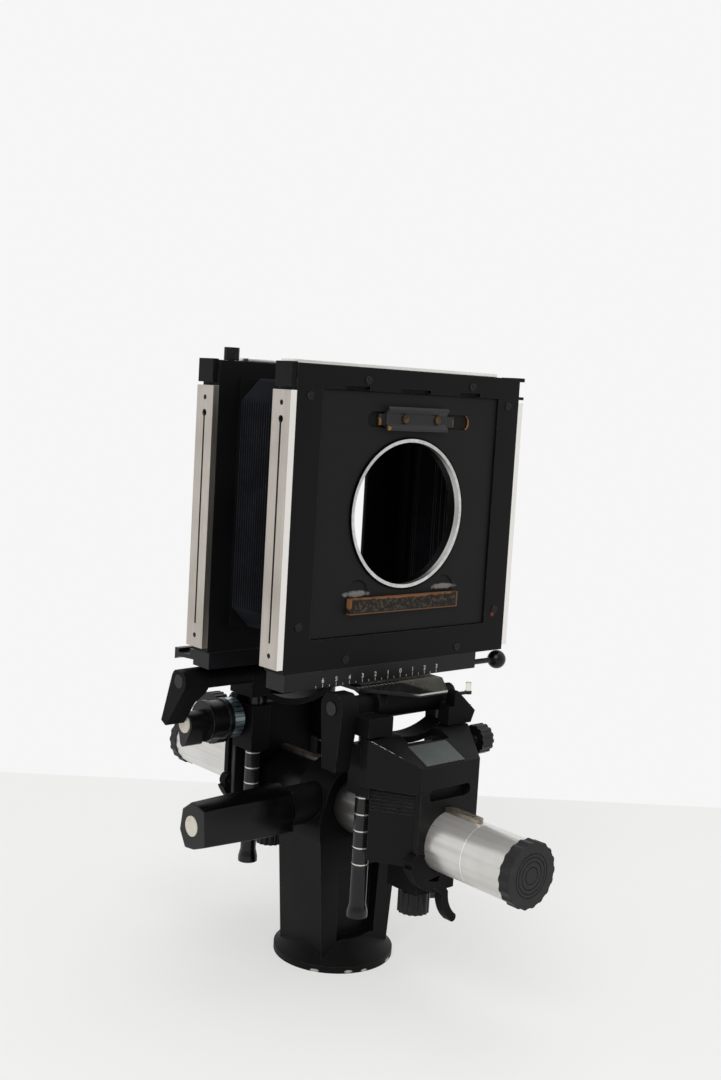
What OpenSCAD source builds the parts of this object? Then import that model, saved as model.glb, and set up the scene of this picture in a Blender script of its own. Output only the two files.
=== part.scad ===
// Monorail view camera: two geared standards on a round rail, held by a pedestal clamp.
// Millimetres. +Z up, the lens side faces -Y, and the origin is the centre of the foot's underside.

/* [Rail and clamp] */
// Diameter of the round rail
rail_d = 35.6; // [32:0.2:38]
// Height of the rail's axis above the ground
rail_z = 98.4; // [92:0.2:110]
// Wall of the rail tube
rail_wall = 3; // [2:0.5:5]
// Length of the middle rail tube
rail_len = 250; // [244:1:280]
// Length of the screwed-on rail piece at the front
front_piece_len = 29.5; // [20:0.5:60]
// Length of the screwed-on rail piece at the rear
rear_piece_len = 32; // [20:0.5:60]
// Diameter over the lobes of the rail's end caps
cap_d = 37.8; // [37:0.2:44]
// Thickness of an end cap
cap_t = 7; // [5:0.5:12]
// Diameter of the foot
foot_d = 75; // [68:1:90]
// Height of the foot's straight rim
foot_rim = 4; // [2:0.5:8]
// Width of the pedestal across the camera at its foot
column_w0 = 52; // [46:1:58]
// Width of the pedestal across the camera at its shoulders
column_w1 = 65; // [60:1:72]
// Depth of the pedestal along the rail
column_d = 41; // [36:1:46]
// Depth of the clamp ring along the rail
clamp_ring_d = 28; // [20:1:36]
// Outer diameter of the clamp ring
clamp_ring_od = 49; // [46:1:56]
// Core diameter of the tripod thread in the foot
socket_d = 8.1; // [6:0.1:10]
// Depth of the tripod socket
socket_depth = 14; // [10:1:20]
// Length of the clamp handle's grip
handle_len = 62; // [50:1:80]
// Thickness of the clamp handle's grip
handle_t = 25; // [20:0.5:30]

/* [Bases] */
// Distance from the clamp's centre to a base's inner face
base_in = 60; // [56:1:66]
// Length of a base along the rail
base_len = 34; // [30:1:40]
// Width of a base at its outer face
base_w0 = 46; // [42:1:48]
// Width of a base at its inner face
base_w1 = 80; // [78:1:90]
// Depth of the base's ribbed body below the rail's axis
base_drop = 13.4; // [10:0.2:15]
// Height of the hood's lower edge above the rail's axis
hood_low = 30.3; // [28:0.2:34]
// Height of the hood's top above the rail's axis
hood_high = 57.6; // [54:0.2:62]
// Diameter of the ringed columns
column_rod_d = 10; // [8:0.5:11]
// Spacing of the rings on the columns
ring_pitch = 10; // [8:0.5:11]
// Distance between the two columns of a standard
column_gap = 60; // [58:0.5:66]
// Diameter of the graduated focusing knob
focus_knob_d = 26; // [20:1:30]
// Length of the graduated focusing knob
focus_knob_len = 24; // [20:1:30]
// Diameter of the rear rise knob
rear_rise_knob_d = 34; // [26:1:36]
// Diameter of the front rise knob
front_rise_knob_d = 18; // [14:1:22]
// Diameter of the lock knobs below the bases
lock_knob_d = 19; // [17:1:26]

/* [Tilt and swing] */
// Height of the tilt axis above a base's hood
tilt_rise = 16; // [15:0.5:20]
// Diameter of the tilt pins
tilt_pin_d = 8; // [6:0.5:8.5]
// Radius of the cradle's curved cross piece
cradle_r = 50; // [47:0.5:54]
// Length of a tilt lever's arm
lever_len = 36; // [30:1:40]
// Diameter of the swing pin
swing_pin_d = 8; // [6:0.5:9]
// Thickness of the swing scale plates
scale_plate_t = 2; // [1.5:0.1:2.4]

/* [Standards] */
// Clear distance between the two frames
frame_gap = 52.4; // [48:0.2:60]
// Thickness of a frame along the rail
frame_t = 16.2; // [15:0.2:18]
// Width of a frame over its casting
frame_w = 177; // [174:1:190]
// Height of a frame from the scale bar to its top
frame_h = 171.7; // [168:0.1:180]
// Side of the square lens board
board_w = 140; // [136:1:142]
// Thickness of the lens board
board_t = 4; // [3:0.5:5]
// Outer diameter of the silver mount ring
ring_od = 90; // [70:1:96]
// Inner diameter of the silver mount ring
ring_id = 84; // [60:1:88]
// Sideways shift of the front standard as it stands
front_shift = 3; // [-10:0.5:10]
// Height of a scale bar
bar_h = 10; // [9:0.5:14]
// Length of a scale bar to the left of the frame's centre
bar_left = 89; // [84:1:92]
// Length of a scale bar to the right of the frame's centre
bar_right = 65; // [60:1:80]
// Thickness of the silver side strips
strip_t = 4; // [2:0.5:6]
// Length of the silver side strips
strip_len = 154; // [140:1:160]
// Distance of the rear ledge behind the rear frame
ledge_out = 20; // [12:1:26]

/* [Bellows] */
// Outer width of the bellows
bellows_w = 148; // [140:1:150]
// Outer height of the bellows
bellows_h = 148; // [140:1:150]
// Length of the cut corners of the bellows
bellows_cut = 12; // [6:1:20]
// Number of pleats
pleats = 24; // [12:1:30]
// Depth of a pleat
pleat_depth = 5; // [3:0.5:8]
// Wall of the bellows, measured square to the side
bellows_wall = 1.2; // [0.8:0.1:2]
// Thickness of the plates that hold the bellows
bellows_plate_t = 1.6; // [1:0.2:2.4]

/* [Hidden] */

fit = 0.05;
gap = 0.3;
eps = 0.02;
black = "#1b1b1d";
silver = "#c9c8c4";
rail_r = rail_d / 2;
rail_y0 = -rail_len / 2 + 3;
rail_y1 = rail_len / 2 + 3;
base_out = base_in + base_len;
base_floor = rail_z - base_drop;
hood_z0 = rail_z + hood_low;
hood_z1 = rail_z + hood_high;
hood_lip = hood_z1 - 12;
flare_u = base_in + 6;
body_in = base_in + 5;
body_inset = 4.5;
tilt_z = hood_z1 + tilt_rise;
tilt_u = base_in - 12;
tilt_r = tilt_pin_d / 2;
column_u = base_in - 6;
column_x = column_gap / 2;
column_r = column_rod_d / 2;
column_foot_r = column_r + 1.2;
guide_z0 = hood_z0 - 7.5;
guide_z1 = hood_z1 - 6;
plate_z0 = tilt_z + 6.8;
plate_z1 = plate_z0 + scale_plate_t;
swing_z0 = plate_z1 + gap;
swing_z1 = swing_z0 + 1.6;
bar_z0 = swing_z1 + gap;
bar_z1 = bar_z0 + bar_h;
frame_z0 = bar_z1;
frame_z1 = frame_z0 + frame_h;
frame_in = frame_gap / 2;
frame_out = frame_in + frame_t;
frame_u = frame_in + frame_t / 2;
swing_u = frame_u;
swing_r = swing_pin_d / 2;
board_z = frame_z0 + 88.4;
board_seat = board_w + 2 * gap;
front_u = frame_out - 1.4;
key_w = 8;
key_h = 4;
keyway_slack = 2.6;
rack_half = 2.8;
keyway = rack_half + gap;
rack_top = 2.4;
handle_x = -50;
handle_z = rail_z + 1.2;
lever_gap = gap + 0.1;
cam_t = 6;
cam_pin_r = 2.2;
cam_boss_r = 5;
cam_x = -rail_r - 3.8;
cam_z = rail_z - 8.9;
flare_a = atan2(base_out - flare_u, (base_w1 - base_w0) / 2);
focus_u = base_in + 2;
focus_z = hood_z0 + 12.3;
focus_shaft_r = 4;
ring_w = 8;
focus_end_x = -base_w1 / 2 - lever_gap - focus_knob_len;
rise_u = base_out - 4;
rise_z = hood_z0 + 5;
rise_shaft_r = 3;
knob_x = base_w1 / 2 + lever_gap;
knob_u = base_in + 11;
knob_z = hood_z1 - 8.8;
lock_u = frame_out - 4;
lock_z = bar_z0 + 2.6;
lock_r = 1.7;
screw_u = base_in + 10;
screw_r = 3.5;
box_in = column_x - 4.5;
box_out = column_x + 10.7;
lever_head_r = 9.5;
rear_lever_x = box_out + 34.5;
rear_head = 18;
release_x = -frame_w / 2 + 13.5;
release_r = 2;
key_half = 24;
shift_travel = 30;
groove_half = key_half + shift_travel + front_shift + 0.5;
strip_z0 = board_z - strip_len * 0.555;
strip_z1 = strip_z0 + strip_len;
strip_screw_z = [strip_z0 + 7, strip_z1 - 7];
flange_z0 = strip_z1 + 1.8;
brake_r = 9;
stem_r = 6;

module ring_y(r_out, r_in, y0, y1) {
    difference() {
        translate([0, y1, 0]) rotate([90, 0, 0]) cylinder(r = r_out, h = y1 - y0, $fn = 96);
        translate([0, y1 + 1, 0]) rotate([90, 0, 0]) cylinder(r = r_in, h = y1 - y0 + 2, $fn = 96);
    }
}

module rod_x(r, x0, x1) {
    translate([x0, 0, 0]) rotate([0, 90, 0]) cylinder(r = r, h = x1 - x0, $fn = 64);
}

module rod_y(r, y0, y1, n = 64) {
    translate([0, y1, 0]) rotate([90, 0, 0]) cylinder(r = r, h = y1 - y0, $fn = n);
}

module block(x0, x1, y0, y1, z0, z1) {
    translate([x0, y0, z0]) cube([x1 - x0, y1 - y0, z1 - z0]);
}

// A shape given along +Y is turned to the front standard by this mirror.
module front() {
    mirror([0, 1, 0]) children();
}

// Pedestal: a tapered column that flares into a round foot and carries the clamp ring.
module pedestal() {
    shoulder = rail_z - 16;
    color(black) difference() {
        union() {
            cylinder(d = foot_d, h = foot_rim, $fn = 96);
            translate([0, 0, foot_rim])
                cylinder(d1 = foot_d - 1, d2 = 30, h = 16, $fn = 96);
            intersection() {
                rotate([90, 0, 0]) linear_extrude(column_d, center = true)
                    polygon([[-column_w0 / 2, 0], [column_w0 / 2, 0], [column_w1 / 2, shoulder],
                        [column_w1 / 2 - 3, shoulder + 10], [clamp_ring_od / 2 - 2, rail_z + 6],
                        [-clamp_ring_od / 2 + 2, rail_z + 6],
                        [-column_w1 / 2 + 3, shoulder + 10], [-column_w1 / 2, shoulder]]);
                rotate([90, 0, 90]) linear_extrude(column_w1 + 2, center = true)
                    polygon([[-column_d / 2, 0], [column_d / 2, 0], [column_d / 2, shoulder - 2],
                        [clamp_ring_d / 2, rail_z - 2], [clamp_ring_d / 2, rail_z + 8],
                        [-clamp_ring_d / 2, rail_z + 8], [-clamp_ring_d / 2, rail_z - 2],
                        [-column_d / 2, shoulder - 2]]);
            }
            translate([0, 0, rail_z])
                ring_y(clamp_ring_od / 2, rail_r - 1, -clamp_ring_d / 2, clamp_ring_d / 2);
            translate([0, 0, handle_z]) rod_x(12, handle_x + 4, -rail_r - 2);
            block(-5, 5, -clamp_ring_d / 2, clamp_ring_d / 2, rail_z + clamp_ring_od / 2 - 3,
                rail_z + clamp_ring_od / 2 + 1.6);
        }
        translate([0, 0, rail_z]) rod_y(rail_r + fit, -column_d, column_d);
        block(-keyway - gap, keyway + gap, -column_d, column_d, rail_z, rail_z + rail_r + rack_top + 0.6);
        translate([0, 0, handle_z]) rod_x(stem_r + fit, handle_x, -rail_r + 2);
        translate([0, 0, handle_z]) rod_x(brake_r + fit, -rail_r - 6, -rail_r + 4);
        for (s = [-1, 1])
            translate([0, s * (column_d / 2 - 7), 0]) rotate([90, 0, 0])
                translate([0, 0, s > 0 ? -10 : 0]) linear_extrude(10)
                    polygon([[-15, foot_rim + 11], [15, foot_rim + 11],
                        [17, rail_z - 38], [-17, rail_z - 38]]);
        translate([0, 0, -1]) cylinder(d = socket_d + 6, h = socket_depth + 1, $fn = 48);
    }
}

// Steel bush with the tripod thread's core.
module tripod_bush() {
    color(silver) difference() {
        cylinder(d = socket_d + 6 - 2 * eps, h = socket_depth - eps, $fn = 48);
        translate([0, 0, -1]) cylinder(d = socket_d, h = socket_depth + 2, $fn = 48);
    }
}

// Shoe that the handle presses against the rail.
module brake_shoe() {
    color("dimgray") difference() {
        translate([0, 0, handle_z]) rod_x(brake_r, -rail_r - 5.6, -rail_r + 3);
        translate([0, 0, rail_z]) rod_y(rail_r + fit, -12, 12);
    }
}

module grip_outline() {
    t = handle_t;
    offset(r = 1.2, $fn = 24) polygon([[0.22 * t, 0.54 * t], [-0.12 * t, 0.5 * t], [-0.54 * t, 0.34 * t],
        [-0.46 * t, -0.44 * t], [0.02 * t, -0.54 * t], [0.36 * t, -0.3 * t], [0.44 * t, 0.2 * t]]);
}

// Handle: a faceted grip with a collar and a stem that reaches the shoe.
module clamp_handle() {
    color(black) translate([0, 0, handle_z]) {
        difference() {
            translate([handle_x, 0, 0]) rotate([0, -90, 0]) rotate([0, 0, 90])
                linear_extrude(handle_len, scale = 0.86) scale(1.1) grip_outline();
            rod_x(6, handle_x - handle_len - 1, handle_x - handle_len + 1.2);
        }
        rod_x(11, handle_x - 1, handle_x + 3.6);
        rod_x(stem_r, handle_x - 1, -rail_r - 6.2);
    }
}

module handle_disc() {
    color("#d8d4cc") translate([0, 0, handle_z])
        rod_x(5.95, handle_x - handle_len - 0.4, handle_x - handle_len + 1.18);
}

module rail_tube() {
    color(silver) translate([0, 0, rail_z]) ring_y(rail_r, rail_r - rail_wall, rail_y0, rail_y1);
}

// Rail piece: a length of tube with a spigot that enters the middle tube.
module rail_piece(len) {
    bore_r = rail_r - rail_wall;
    ring_y(rail_r, bore_r, 0, len);
    ring_y(bore_r - eps, bore_r - 2, -10, 0.5);
    ring_y(bore_r + 0.5, bore_r - 2, 0.1, 4);
}

module rail_front_piece() {
    color(silver) translate([0, rail_y0, rail_z]) front() rail_piece(front_piece_len);
}

module rail_rear_piece() {
    color(silver) translate([0, rail_y1, rail_z]) rail_piece(rear_piece_len);
}

// End cap: a lobed disc with stepped rings on its face and a plug that fits the tube.
module rail_cap() {
    lobes = 18;
    lobe_r = 3;
    color(black) {
        difference() {
            rotate([-90, 0, 0]) linear_extrude(cap_t) union() {
                circle(d = cap_d - 1.4, $fn = 96);
                for (i = [0 : lobes - 1])
                    rotate(i * 360 / lobes) translate([cap_d / 2 - lobe_r, 0]) circle(r = lobe_r, $fn = 24);
            }
            for (r = [4.5, 7.5, 10, 12]) ring_y(r + 0.5, r, cap_t - 0.5, cap_t + 1);
        }
        rod_y(rail_r - rail_wall - eps, -6, 0.1);
    }
}

module rail_front_cap() {
    translate([0, rail_y0 - front_piece_len, rail_z]) front() rail_cap();
}

module rail_rear_cap() {
    translate([0, rail_y1 + rear_piece_len, rail_z]) rail_cap();
}

// Toothed strip along the top of the rail, with round ends.
module rail_rack() {
    tooth = 2.5;
    y0 = rail_y0 + 2;
    y1 = rail_y1 - 2;
    count = floor((y1 - y0 - 12) / tooth);
    color("#8f7d68") difference() {
        intersection() {
            translate([0, 0, rail_z + rail_r - 1.2]) linear_extrude(1.2 + rack_top) hull() {
                translate([0, y0 + rack_half]) circle(r = rack_half, $fn = 32);
                translate([0, y1 - rack_half]) circle(r = rack_half, $fn = 32);
            }
            difference() {
                block(-6, 6, y0 - 2, y1 + 2, rail_z, rail_z + rail_r + rack_top);
                translate([0, 0, rail_z]) rod_y(rail_r + eps, y0 - 4, y1 + 4);
            }
        }
        for (i = [0 : count - 1])
            translate([-1.6, y0 + 6 + i * tooth, rail_z + rail_r + rack_top - 0.9]) cube([3.2, tooth / 2, 2]);
    }
}

module base_plan(inset, from) {
    w1 = base_w1 / 2 - inset;
    w0 = base_w0 / 2 - inset * 0.8;
    polygon([[-w1, from], [w1, from], [w1, flare_u], [w0, base_out - inset * 0.6],
        [-w0, base_out - inset * 0.6], [-w1, flare_u]]);
}

// Base: a flared hood with a sloping top over a ribbed body that rides on the rail.
module base_body() {
    slope_u = flare_u + 1;
    difference() {
        union() {
            intersection() {
                translate([0, 0, hood_z0]) linear_extrude(hood_z1 - hood_z0) base_plan(0, base_in);
                rotate([90, 0, 90]) linear_extrude(base_w1 + 2, center = true)
                    polygon([[base_in, hood_z0 - 1], [base_out, hood_z0 - 1], [base_out, hood_lip],
                        [slope_u, hood_z1], [base_in, hood_z1]]);
            }
            translate([0, 0, base_floor]) linear_extrude(hood_z0 - base_floor) base_plan(body_inset, body_in);
            block(-rail_r - 5, rail_r + 5, base_in, body_in + 1, base_floor, hood_z0 + 1);
            intersection() {
                block(-base_w0 / 2, base_w0 / 2, base_out - 4, base_out, base_floor + 7, hood_z0 + 1);
                translate([0, 0, base_floor]) linear_extrude(hood_z0) base_plan(0, base_in);
            }
            for (s = [-1, 1])
                block(s * column_x - 7, s * column_x + 7, column_u - 7, body_in + 1, guide_z0, guide_z1);
        }
        translate([0, 0, rail_z]) rod_y(rail_r + fit, base_in - 1, base_out + 1);
        block(-keyway, keyway, base_in - 1, base_out + 1, rail_z, rail_z + rail_r + rack_top + 0.4);
        for (s = [-1, 1])
            translate([s * column_x, column_u, 0]) {
                translate([0, 0, hood_z0 - 10]) cylinder(r = column_r + fit, h = 60, $fn = 64);
                translate([0, 0, base_floor - 1])
                    cylinder(r = column_foot_r + gap, h = guide_z0 - base_floor + 1, $fn = 64);
            }
        block(-16, 16, base_in - 1, flare_u + 9, hood_z1 - 8, hood_z1 + 1);
        translate([0, base_out + 1, hood_z0 - 1.6]) rotate([90, 0, 0]) linear_extrude(6) hull() {
            translate([-13, 0]) circle(r = 3.6, $fn = 32);
            translate([13, 0]) circle(r = 3.6, $fn = 32);
        }
        for (s = [-1, 1], i = [0 : 5])
            translate([s * (base_w1 / 2 - body_inset), flare_u - 0.6, hood_z0 - 2.4 - i * 2.2])
                rotate([0, 0, s * (90 - flare_a) + (s > 0 ? 0 : 180)]) translate([-0.7, 0, 0])
                    mirror([0, s > 0 ? 0 : 1, 0]) cube([1.4, 26, 0.9]);
        block(-base_w1 / 2, base_w1 / 2, base_out - cam_t - 0.6, base_out + 1,
            base_floor - 1, base_floor + 7);
        translate([cam_x, 0, cam_z]) {
            rod_y(cam_pin_r + fit, base_out - cam_t - 9, base_out + 1);
            rod_y(cam_boss_r + gap, base_out - cam_t - 0.6, base_out + 1);
        }
    }
}

module front_base() {
    color(black) front() difference() {
        base_body();
        translate([knob_x, knob_u, knob_z]) {
            rod_x(rise_shaft_r + fit, -11, 1);
        }
    }
}

module rear_base() {
    color(black) difference() {
        base_body();
        translate([0, focus_u, focus_z]) rod_x(focus_shaft_r + fit, -base_w1 / 2 - 5, -base_w1 / 2 + 8);
        translate([-base_w1 / 2, rise_u, rise_z]) {
            rod_x(rise_shaft_r + fit, 8, 24);
            rod_x(rear_rise_knob_d / 2 + gap, -5, 9 + gap);
        }
    }
}

// Bare plate on the hood's sloping top.
module nameplate() {
    slope = atan2(12, base_out - flare_u - 1);
    color("#9aa39f") front() translate([-4, base_out, hood_lip]) rotate([-slope, 0, 0])
        translate([-15, -19, eps]) cube([30, 18, 0.6]);
}

// Jaw under the rail: a saddle with a bush for the lock knob's screw.
module jaw() {
    jaw_z0 = base_floor - 19;
    difference() {
        union() {
            block(-15, 15, base_in + 2, base_out - cam_t - 1, jaw_z0, base_floor - eps);
            translate([0, screw_u, jaw_z0 - 3]) cylinder(r = 7.5, h = 5, $fn = 48);
        }
        translate([0, 0, rail_z]) rod_y(rail_r + fit, base_in, base_out);
        translate([0, screw_u, jaw_z0 - 4]) cylinder(r = screw_r + fit, h = 14, $fn = 48);
    }
}

module front_jaw() {
    color(black) front() jaw();
}

module rear_jaw() {
    color(black) jaw();
}

function arc(cx, cy, r, a0, a1, n) =
    [for (i = [0 : n]) let (a = a0 + (a1 - a0) * i / n) [cx + r * cos(a), cy + r * sin(a)]];

// Cam lever: a hook that hugs the rail from below, with a curved tail.
module cam_lever() {
    inner = rail_r + 0.5;
    outer = rail_r + 12.6;
    tail_x = 22.5;
    tail_z = rail_z - 31.5;
    tail_r = 20.9;
    difference() {
        translate([0, base_out - 0.3, 0]) rotate([90, 0, 0]) linear_extrude(cam_t) difference() {
            union() {
                polygon(concat(arc(0, rail_z, inner, 208, 273, 14), [[1.4, rail_z - 27]],
                    arc(tail_x, tail_z, tail_r - 2.5, 178, 229, 10),
                    arc(tail_x, tail_z, tail_r + 2.5, 232, 181, 10),
                    [[-7.5, rail_z - 26.4], [-9.5, rail_z - 28.8]], arc(0, rail_z, outer, 250, 204, 12)));
                translate([cam_x, cam_z]) circle(r = cam_boss_r, $fn = 48);
                translate([tail_x + tail_r * cos(231), tail_z + tail_r * sin(231)]) circle(r = 2.6, $fn = 32);
            }
            polygon([[-13.5, rail_z - 21.2], [-3.5, rail_z - 19.6], [-4.5, rail_z - 23.6]]);
        }
        translate([0, 0, rail_z]) rod_y(inner, base_in, base_out + 1);
    }
    translate([cam_x, 0, cam_z]) rod_y(cam_pin_r, base_out - cam_t - 8, base_out - 1);
}

module front_cam_lever() {
    color(black) front() cam_lever();
}

module rear_cam_lever() {
    color(black) cam_lever();
}

// Fluted knob about its own axis, from z = 0 to h.
module fluted(d, h, flutes, cut) {
    difference() {
        cylinder(d = d, h = h, $fn = 96);
        for (i = [0 : flutes - 1]) rotate(i * 360 / flutes) translate([d / 2 + cut * 0.45, 0, -1])
            cylinder(r = cut, h = h + 2, $fn = 24);
    }
}

module lock_knob() {
    translate([0, screw_u, base_floor - 36]) {
        difference() {
            fluted(lock_knob_d, 13, 16, 1.3);
            translate([0, 0, -1]) cylinder(d = lock_knob_d - 8, h = 2.5, $fn = 48);
        }
        cylinder(r = screw_r, h = 21.5, $fn = 48);
    }
}

module front_lock_knob() {
    color(black) front() lock_knob();
}

module rear_lock_knob() {
    color(black) lock_knob();
}

module front_rise_knob() {
    color(black) translate([knob_x, -knob_u, knob_z]) {
        rotate([0, 90, 0]) fluted(front_rise_knob_d, 9, 14, 1.3);
        rod_x(rise_shaft_r, -10, 1);
    }
}

module rear_rise_knob() {
    color(black) translate([-base_w1 / 2, rise_u, rise_z]) {
        rotate([0, 90, 0]) fluted(rear_rise_knob_d, 9, 28, 1.4);
        rod_x(rise_shaft_r, 8, 22);
    }
}

// Cradle: two boxes on the columns that reach over the hood, joined by a curved cross piece, with ears
// for the tilt pin and a taller block on the side without a lever.
module cradle() {
    box_u0 = tilt_u - 4;
    box_u1 = base_in - gap;
    arc_z = hood_z1 - 4 + cradle_r;
    over_u = base_in + 7;
    block_x = box_in + 1.5;
    difference() {
        union() {
            for (s = [-1, 1]) {
                mirror([s > 0 ? 0 : 1, 0, 0]) {
                    block(box_in, box_out, box_u0, box_u1, hood_z1 + 1, hood_z1 + 12);
                    block(box_in - 3, box_out, box_u1 - 1, over_u, hood_z1 + 1, hood_z1 + 12);
                    rotate([90, 0, 90]) translate([0, 0, box_in])
                        linear_extrude(box_out - box_in) hull() {
                            translate([tilt_u, tilt_z]) circle(r = 5.5, $fn = 32);
                            translate([tilt_u - 4, hood_z1 + 8]) square([10, 2]);
                        }
                }
            }
            rotate([90, 0, 0]) translate([0, 0, -over_u]) linear_extrude(over_u - box_u1)
                polygon([[block_x, hood_z1 + 1], [box_out + 1, hood_z1 + 1], [box_out + 4, hood_z1 + 8],
                    [block_x + 2, tilt_z + 5.5], [block_x, tilt_z + 3]]);
            intersection() {
                translate([0, 0, arc_z]) ring_y(cradle_r + 4, cradle_r, box_u0 + 2, box_u1);
                block(-box_in - 1, box_in + 1, box_u0, box_u1 + 1, 0, arc_z);
            }
        }
        translate([0, tilt_u, tilt_z]) rod_x(tilt_r + fit, -box_out - 20, box_out + 20);
        for (s = [-1, 1])
            translate([s * column_x, column_u, hood_z1 - 6])
                cylinder(r = column_r + eps, h = 14, $fn = 64);
    }
}

module front_cradle() {
    color(black) front() cradle();
}

module rear_cradle() {
    color(black) cradle();
}

// Column: a scale section with engraved rings over a smooth tube with a flared foot.
module column() {
    top = hood_z1 + 7.9;
    foot = top - 117;
    first = hood_z0 - 10.6;
    rotate_extrude($fn = 64) difference() {
        polygon([[0, foot], [column_foot_r, foot], [column_foot_r, foot + 3], [column_r, foot + 8],
            [column_r, top], [0, top]]);
        for (i = [0 : 4]) translate([column_r - 0.35, first - i * ring_pitch]) square([1, 0.7]);
    }
}

module front_columns() {
    color(black) front() for (s = [-1, 1]) translate([s * column_x, column_u, 0]) column();
}

module rear_columns() {
    color(black) for (s = [-1, 1]) translate([s * column_x, column_u, 0]) column();
}

// Tilt pin, whose left end carries the lever.
module front_tilt_pin() {
    color("dimgray") front() translate([0, tilt_u, tilt_z]) rod_x(tilt_r, -box_out - 13, box_out);
}

module rear_tilt_pin() {
    color("dimgray") translate([0, tilt_u, tilt_z]) rod_x(tilt_r, -rear_lever_x - rear_head, box_out);
}

// Tilt head: a drum on the tilt pin and a saddle that carries the swing plate.
module tilt_head() {
    w = box_in - lever_gap;
    drum_r = 9.7;
    difference() {
        union() {
            translate([0, tilt_u, tilt_z]) rod_x(drum_r, -w, w);
            rotate([90, 0, 90]) linear_extrude(40, center = true)
                polygon([[tilt_u - 9.6, tilt_z], [tilt_u + 9.6, tilt_z], [tilt_u + 11, plate_z0],
                    [swing_u - 8, plate_z0], [swing_u - 8, plate_z0 - 3]]);
            translate([0, swing_u, plate_z0 - 3]) cylinder(r = swing_r + 4, h = 3, $fn = 64);
        }
        translate([0, tilt_u, tilt_z]) rod_x(tilt_r + fit, -w - 1, w + 1);
        block(-w - 1, w + 1, tilt_u - drum_r - 1, tilt_u + drum_r + 2, plate_z0, plate_z0 + drum_r);
    }
    translate([0, swing_u, plate_z0 - 3]) cylinder(r = swing_r, h = swing_z1 - plate_z0 + 3, $fn = 64);
}

module front_tilt_head() {
    color(black) front() tilt_head();
}

module rear_tilt_head() {
    color(black) tilt_head();
}

// Swing scale plate: it narrows to a short straight edge in front, where the scale is read.
module scale_plate() {
    difference() {
        translate([0, 0, plate_z0 + eps]) linear_extrude(scale_plate_t - eps)
            polygon([[-31, swing_u - 6], [36, swing_u - 6], [36, tilt_u - 2], [14, tilt_u + 25],
                [-9, tilt_u + 25], [-31, tilt_u - 2]]);
        translate([0, swing_u, plate_z0 - 1])
            cylinder(r = swing_r + eps, h = scale_plate_t + 2, $fn = 64);
    }
}

module front_scale_plate() {
    color(silver) front() scale_plate();
}

module rear_scale_plate() {
    color(silver) scale_plate();
}

// Tilt lever: a round head on the pin and a tapered arm that hangs from it.
module tilt_lever(head, head_r, reach, tip, lean, profile) {
    difference() {
        intersection() {
            rotate([90, 0, 90]) rotate(lean) translate([0, 0, -head]) linear_extrude(head) hull() {
                circle(r = head_r, $fn = 32);
                translate([-tip / 2, -reach]) square([tip, 2]);
            }
            rotate([90, 0, 0]) linear_extrude(2 * reach, center = true) polygon(profile);
        }
        rod_x(tilt_r + fit, -head - 1, 1);
    }
}

module front_tilt_lever() {
    color(black) front() translate([-box_out - lever_gap, tilt_u, tilt_z])
        tilt_lever(12, lever_head_r, lever_len, 12, 0,
            [[-12, 8.6], [0, 8.6], [0, -10], [-1.5, -lever_len], [-12, -lever_len]]);
}

// The rear lever stands off on a sleeve, which clears the focusing knob.
module rear_tilt_lever() {
    sleeve_r = 6;
    reach = lever_len - 4;
    arm_x = -4.3;
    color(black) translate([-rear_lever_x, tilt_u, tilt_z]) {
        tilt_lever(rear_head, 7.6, reach, 5.5, 27,
            [[-rear_head, 6.4], [-1, 7.4], [0, 6.6], [0, -8], [arm_x, -15],
                [arm_x, -reach], [-rear_head, -reach]]);
        difference() {
            rod_x(sleeve_r, -rear_head / 2, rear_lever_x - box_out - lever_gap);
            rod_x(tilt_r + fit, -rear_head, rear_lever_x);
        }
    }
}

// Swing plate: turns on the swing pin and carries the dovetail key of the shift bar.
module swing_plate() {
    difference() {
        union() {
            block(-26, 26, frame_in + 1, frame_out - 1, swing_z0, swing_z1);
            block(-key_half, key_half, swing_u - key_w / 2, swing_u + key_w / 2,
                swing_z0 + 0.1, bar_z0 + key_h);
        }
        translate([0, swing_u, swing_z0 - 1]) cylinder(r = swing_r + fit, h = 12, $fn = 64);
    }
}

module front_swing_plate() {
    color("dimgray") front() swing_plate();
}

module rear_swing_plate() {
    color("dimgray") swing_plate();
}

// Scale bar: the foot of a frame, grooved below for the swing plate's key.
module scale_bar() {
    difference() {
        block(-bar_left + 2, bar_right, frame_in, frame_out, bar_z0, bar_z1);
        block(-groove_half, bar_right - 9, swing_u - key_w / 2 - fit, swing_u + key_w / 2 + fit,
            bar_z0 - 1, bar_z0 + key_h + keyway_slack);
    }
}

module front_bar() {
    color(black) translate([front_shift, 0, 0]) front() {
        difference() {
            scale_bar();
            translate([0, lock_u, lock_z]) rod_x(lock_r + fit, bar_right - 8, bar_right + 1);
        }
    }
}

// Rear bar with the hooked ledge that the film back stands on.
module rear_bar() {
    color(black) {
        scale_bar();
        rotate([90, 0, 90]) translate([0, 0, -bar_left + 2]) linear_extrude(bar_left - 2 + bar_right)
            polygon([[frame_out, bar_z0 + 3], [frame_out + ledge_out - 5, bar_z0 + 2],
                [frame_out + ledge_out, bar_z0], [frame_out + ledge_out, bar_z0 + 7],
                [frame_out + ledge_out - 4, bar_z0 + 7], [frame_out + ledge_out - 4, bar_z0 + 4.5],
                [frame_out + 4, bar_z0 + 5.5], [frame_out + 4, bar_z1 - 1], [frame_out, bar_z1 - 1]]);
    }
}

// Lock for the shift: a ball on a stem that turns in the bar's end.
module shift_lock() {
    color("dimgray") translate([front_shift, -lock_u, lock_z]) {
        rod_x(lock_r, bar_right - 7.8, bar_right + 20);
        translate([bar_right + 24, 0, 0]) sphere(r = 6, $fn = 48);
    }
}

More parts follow.
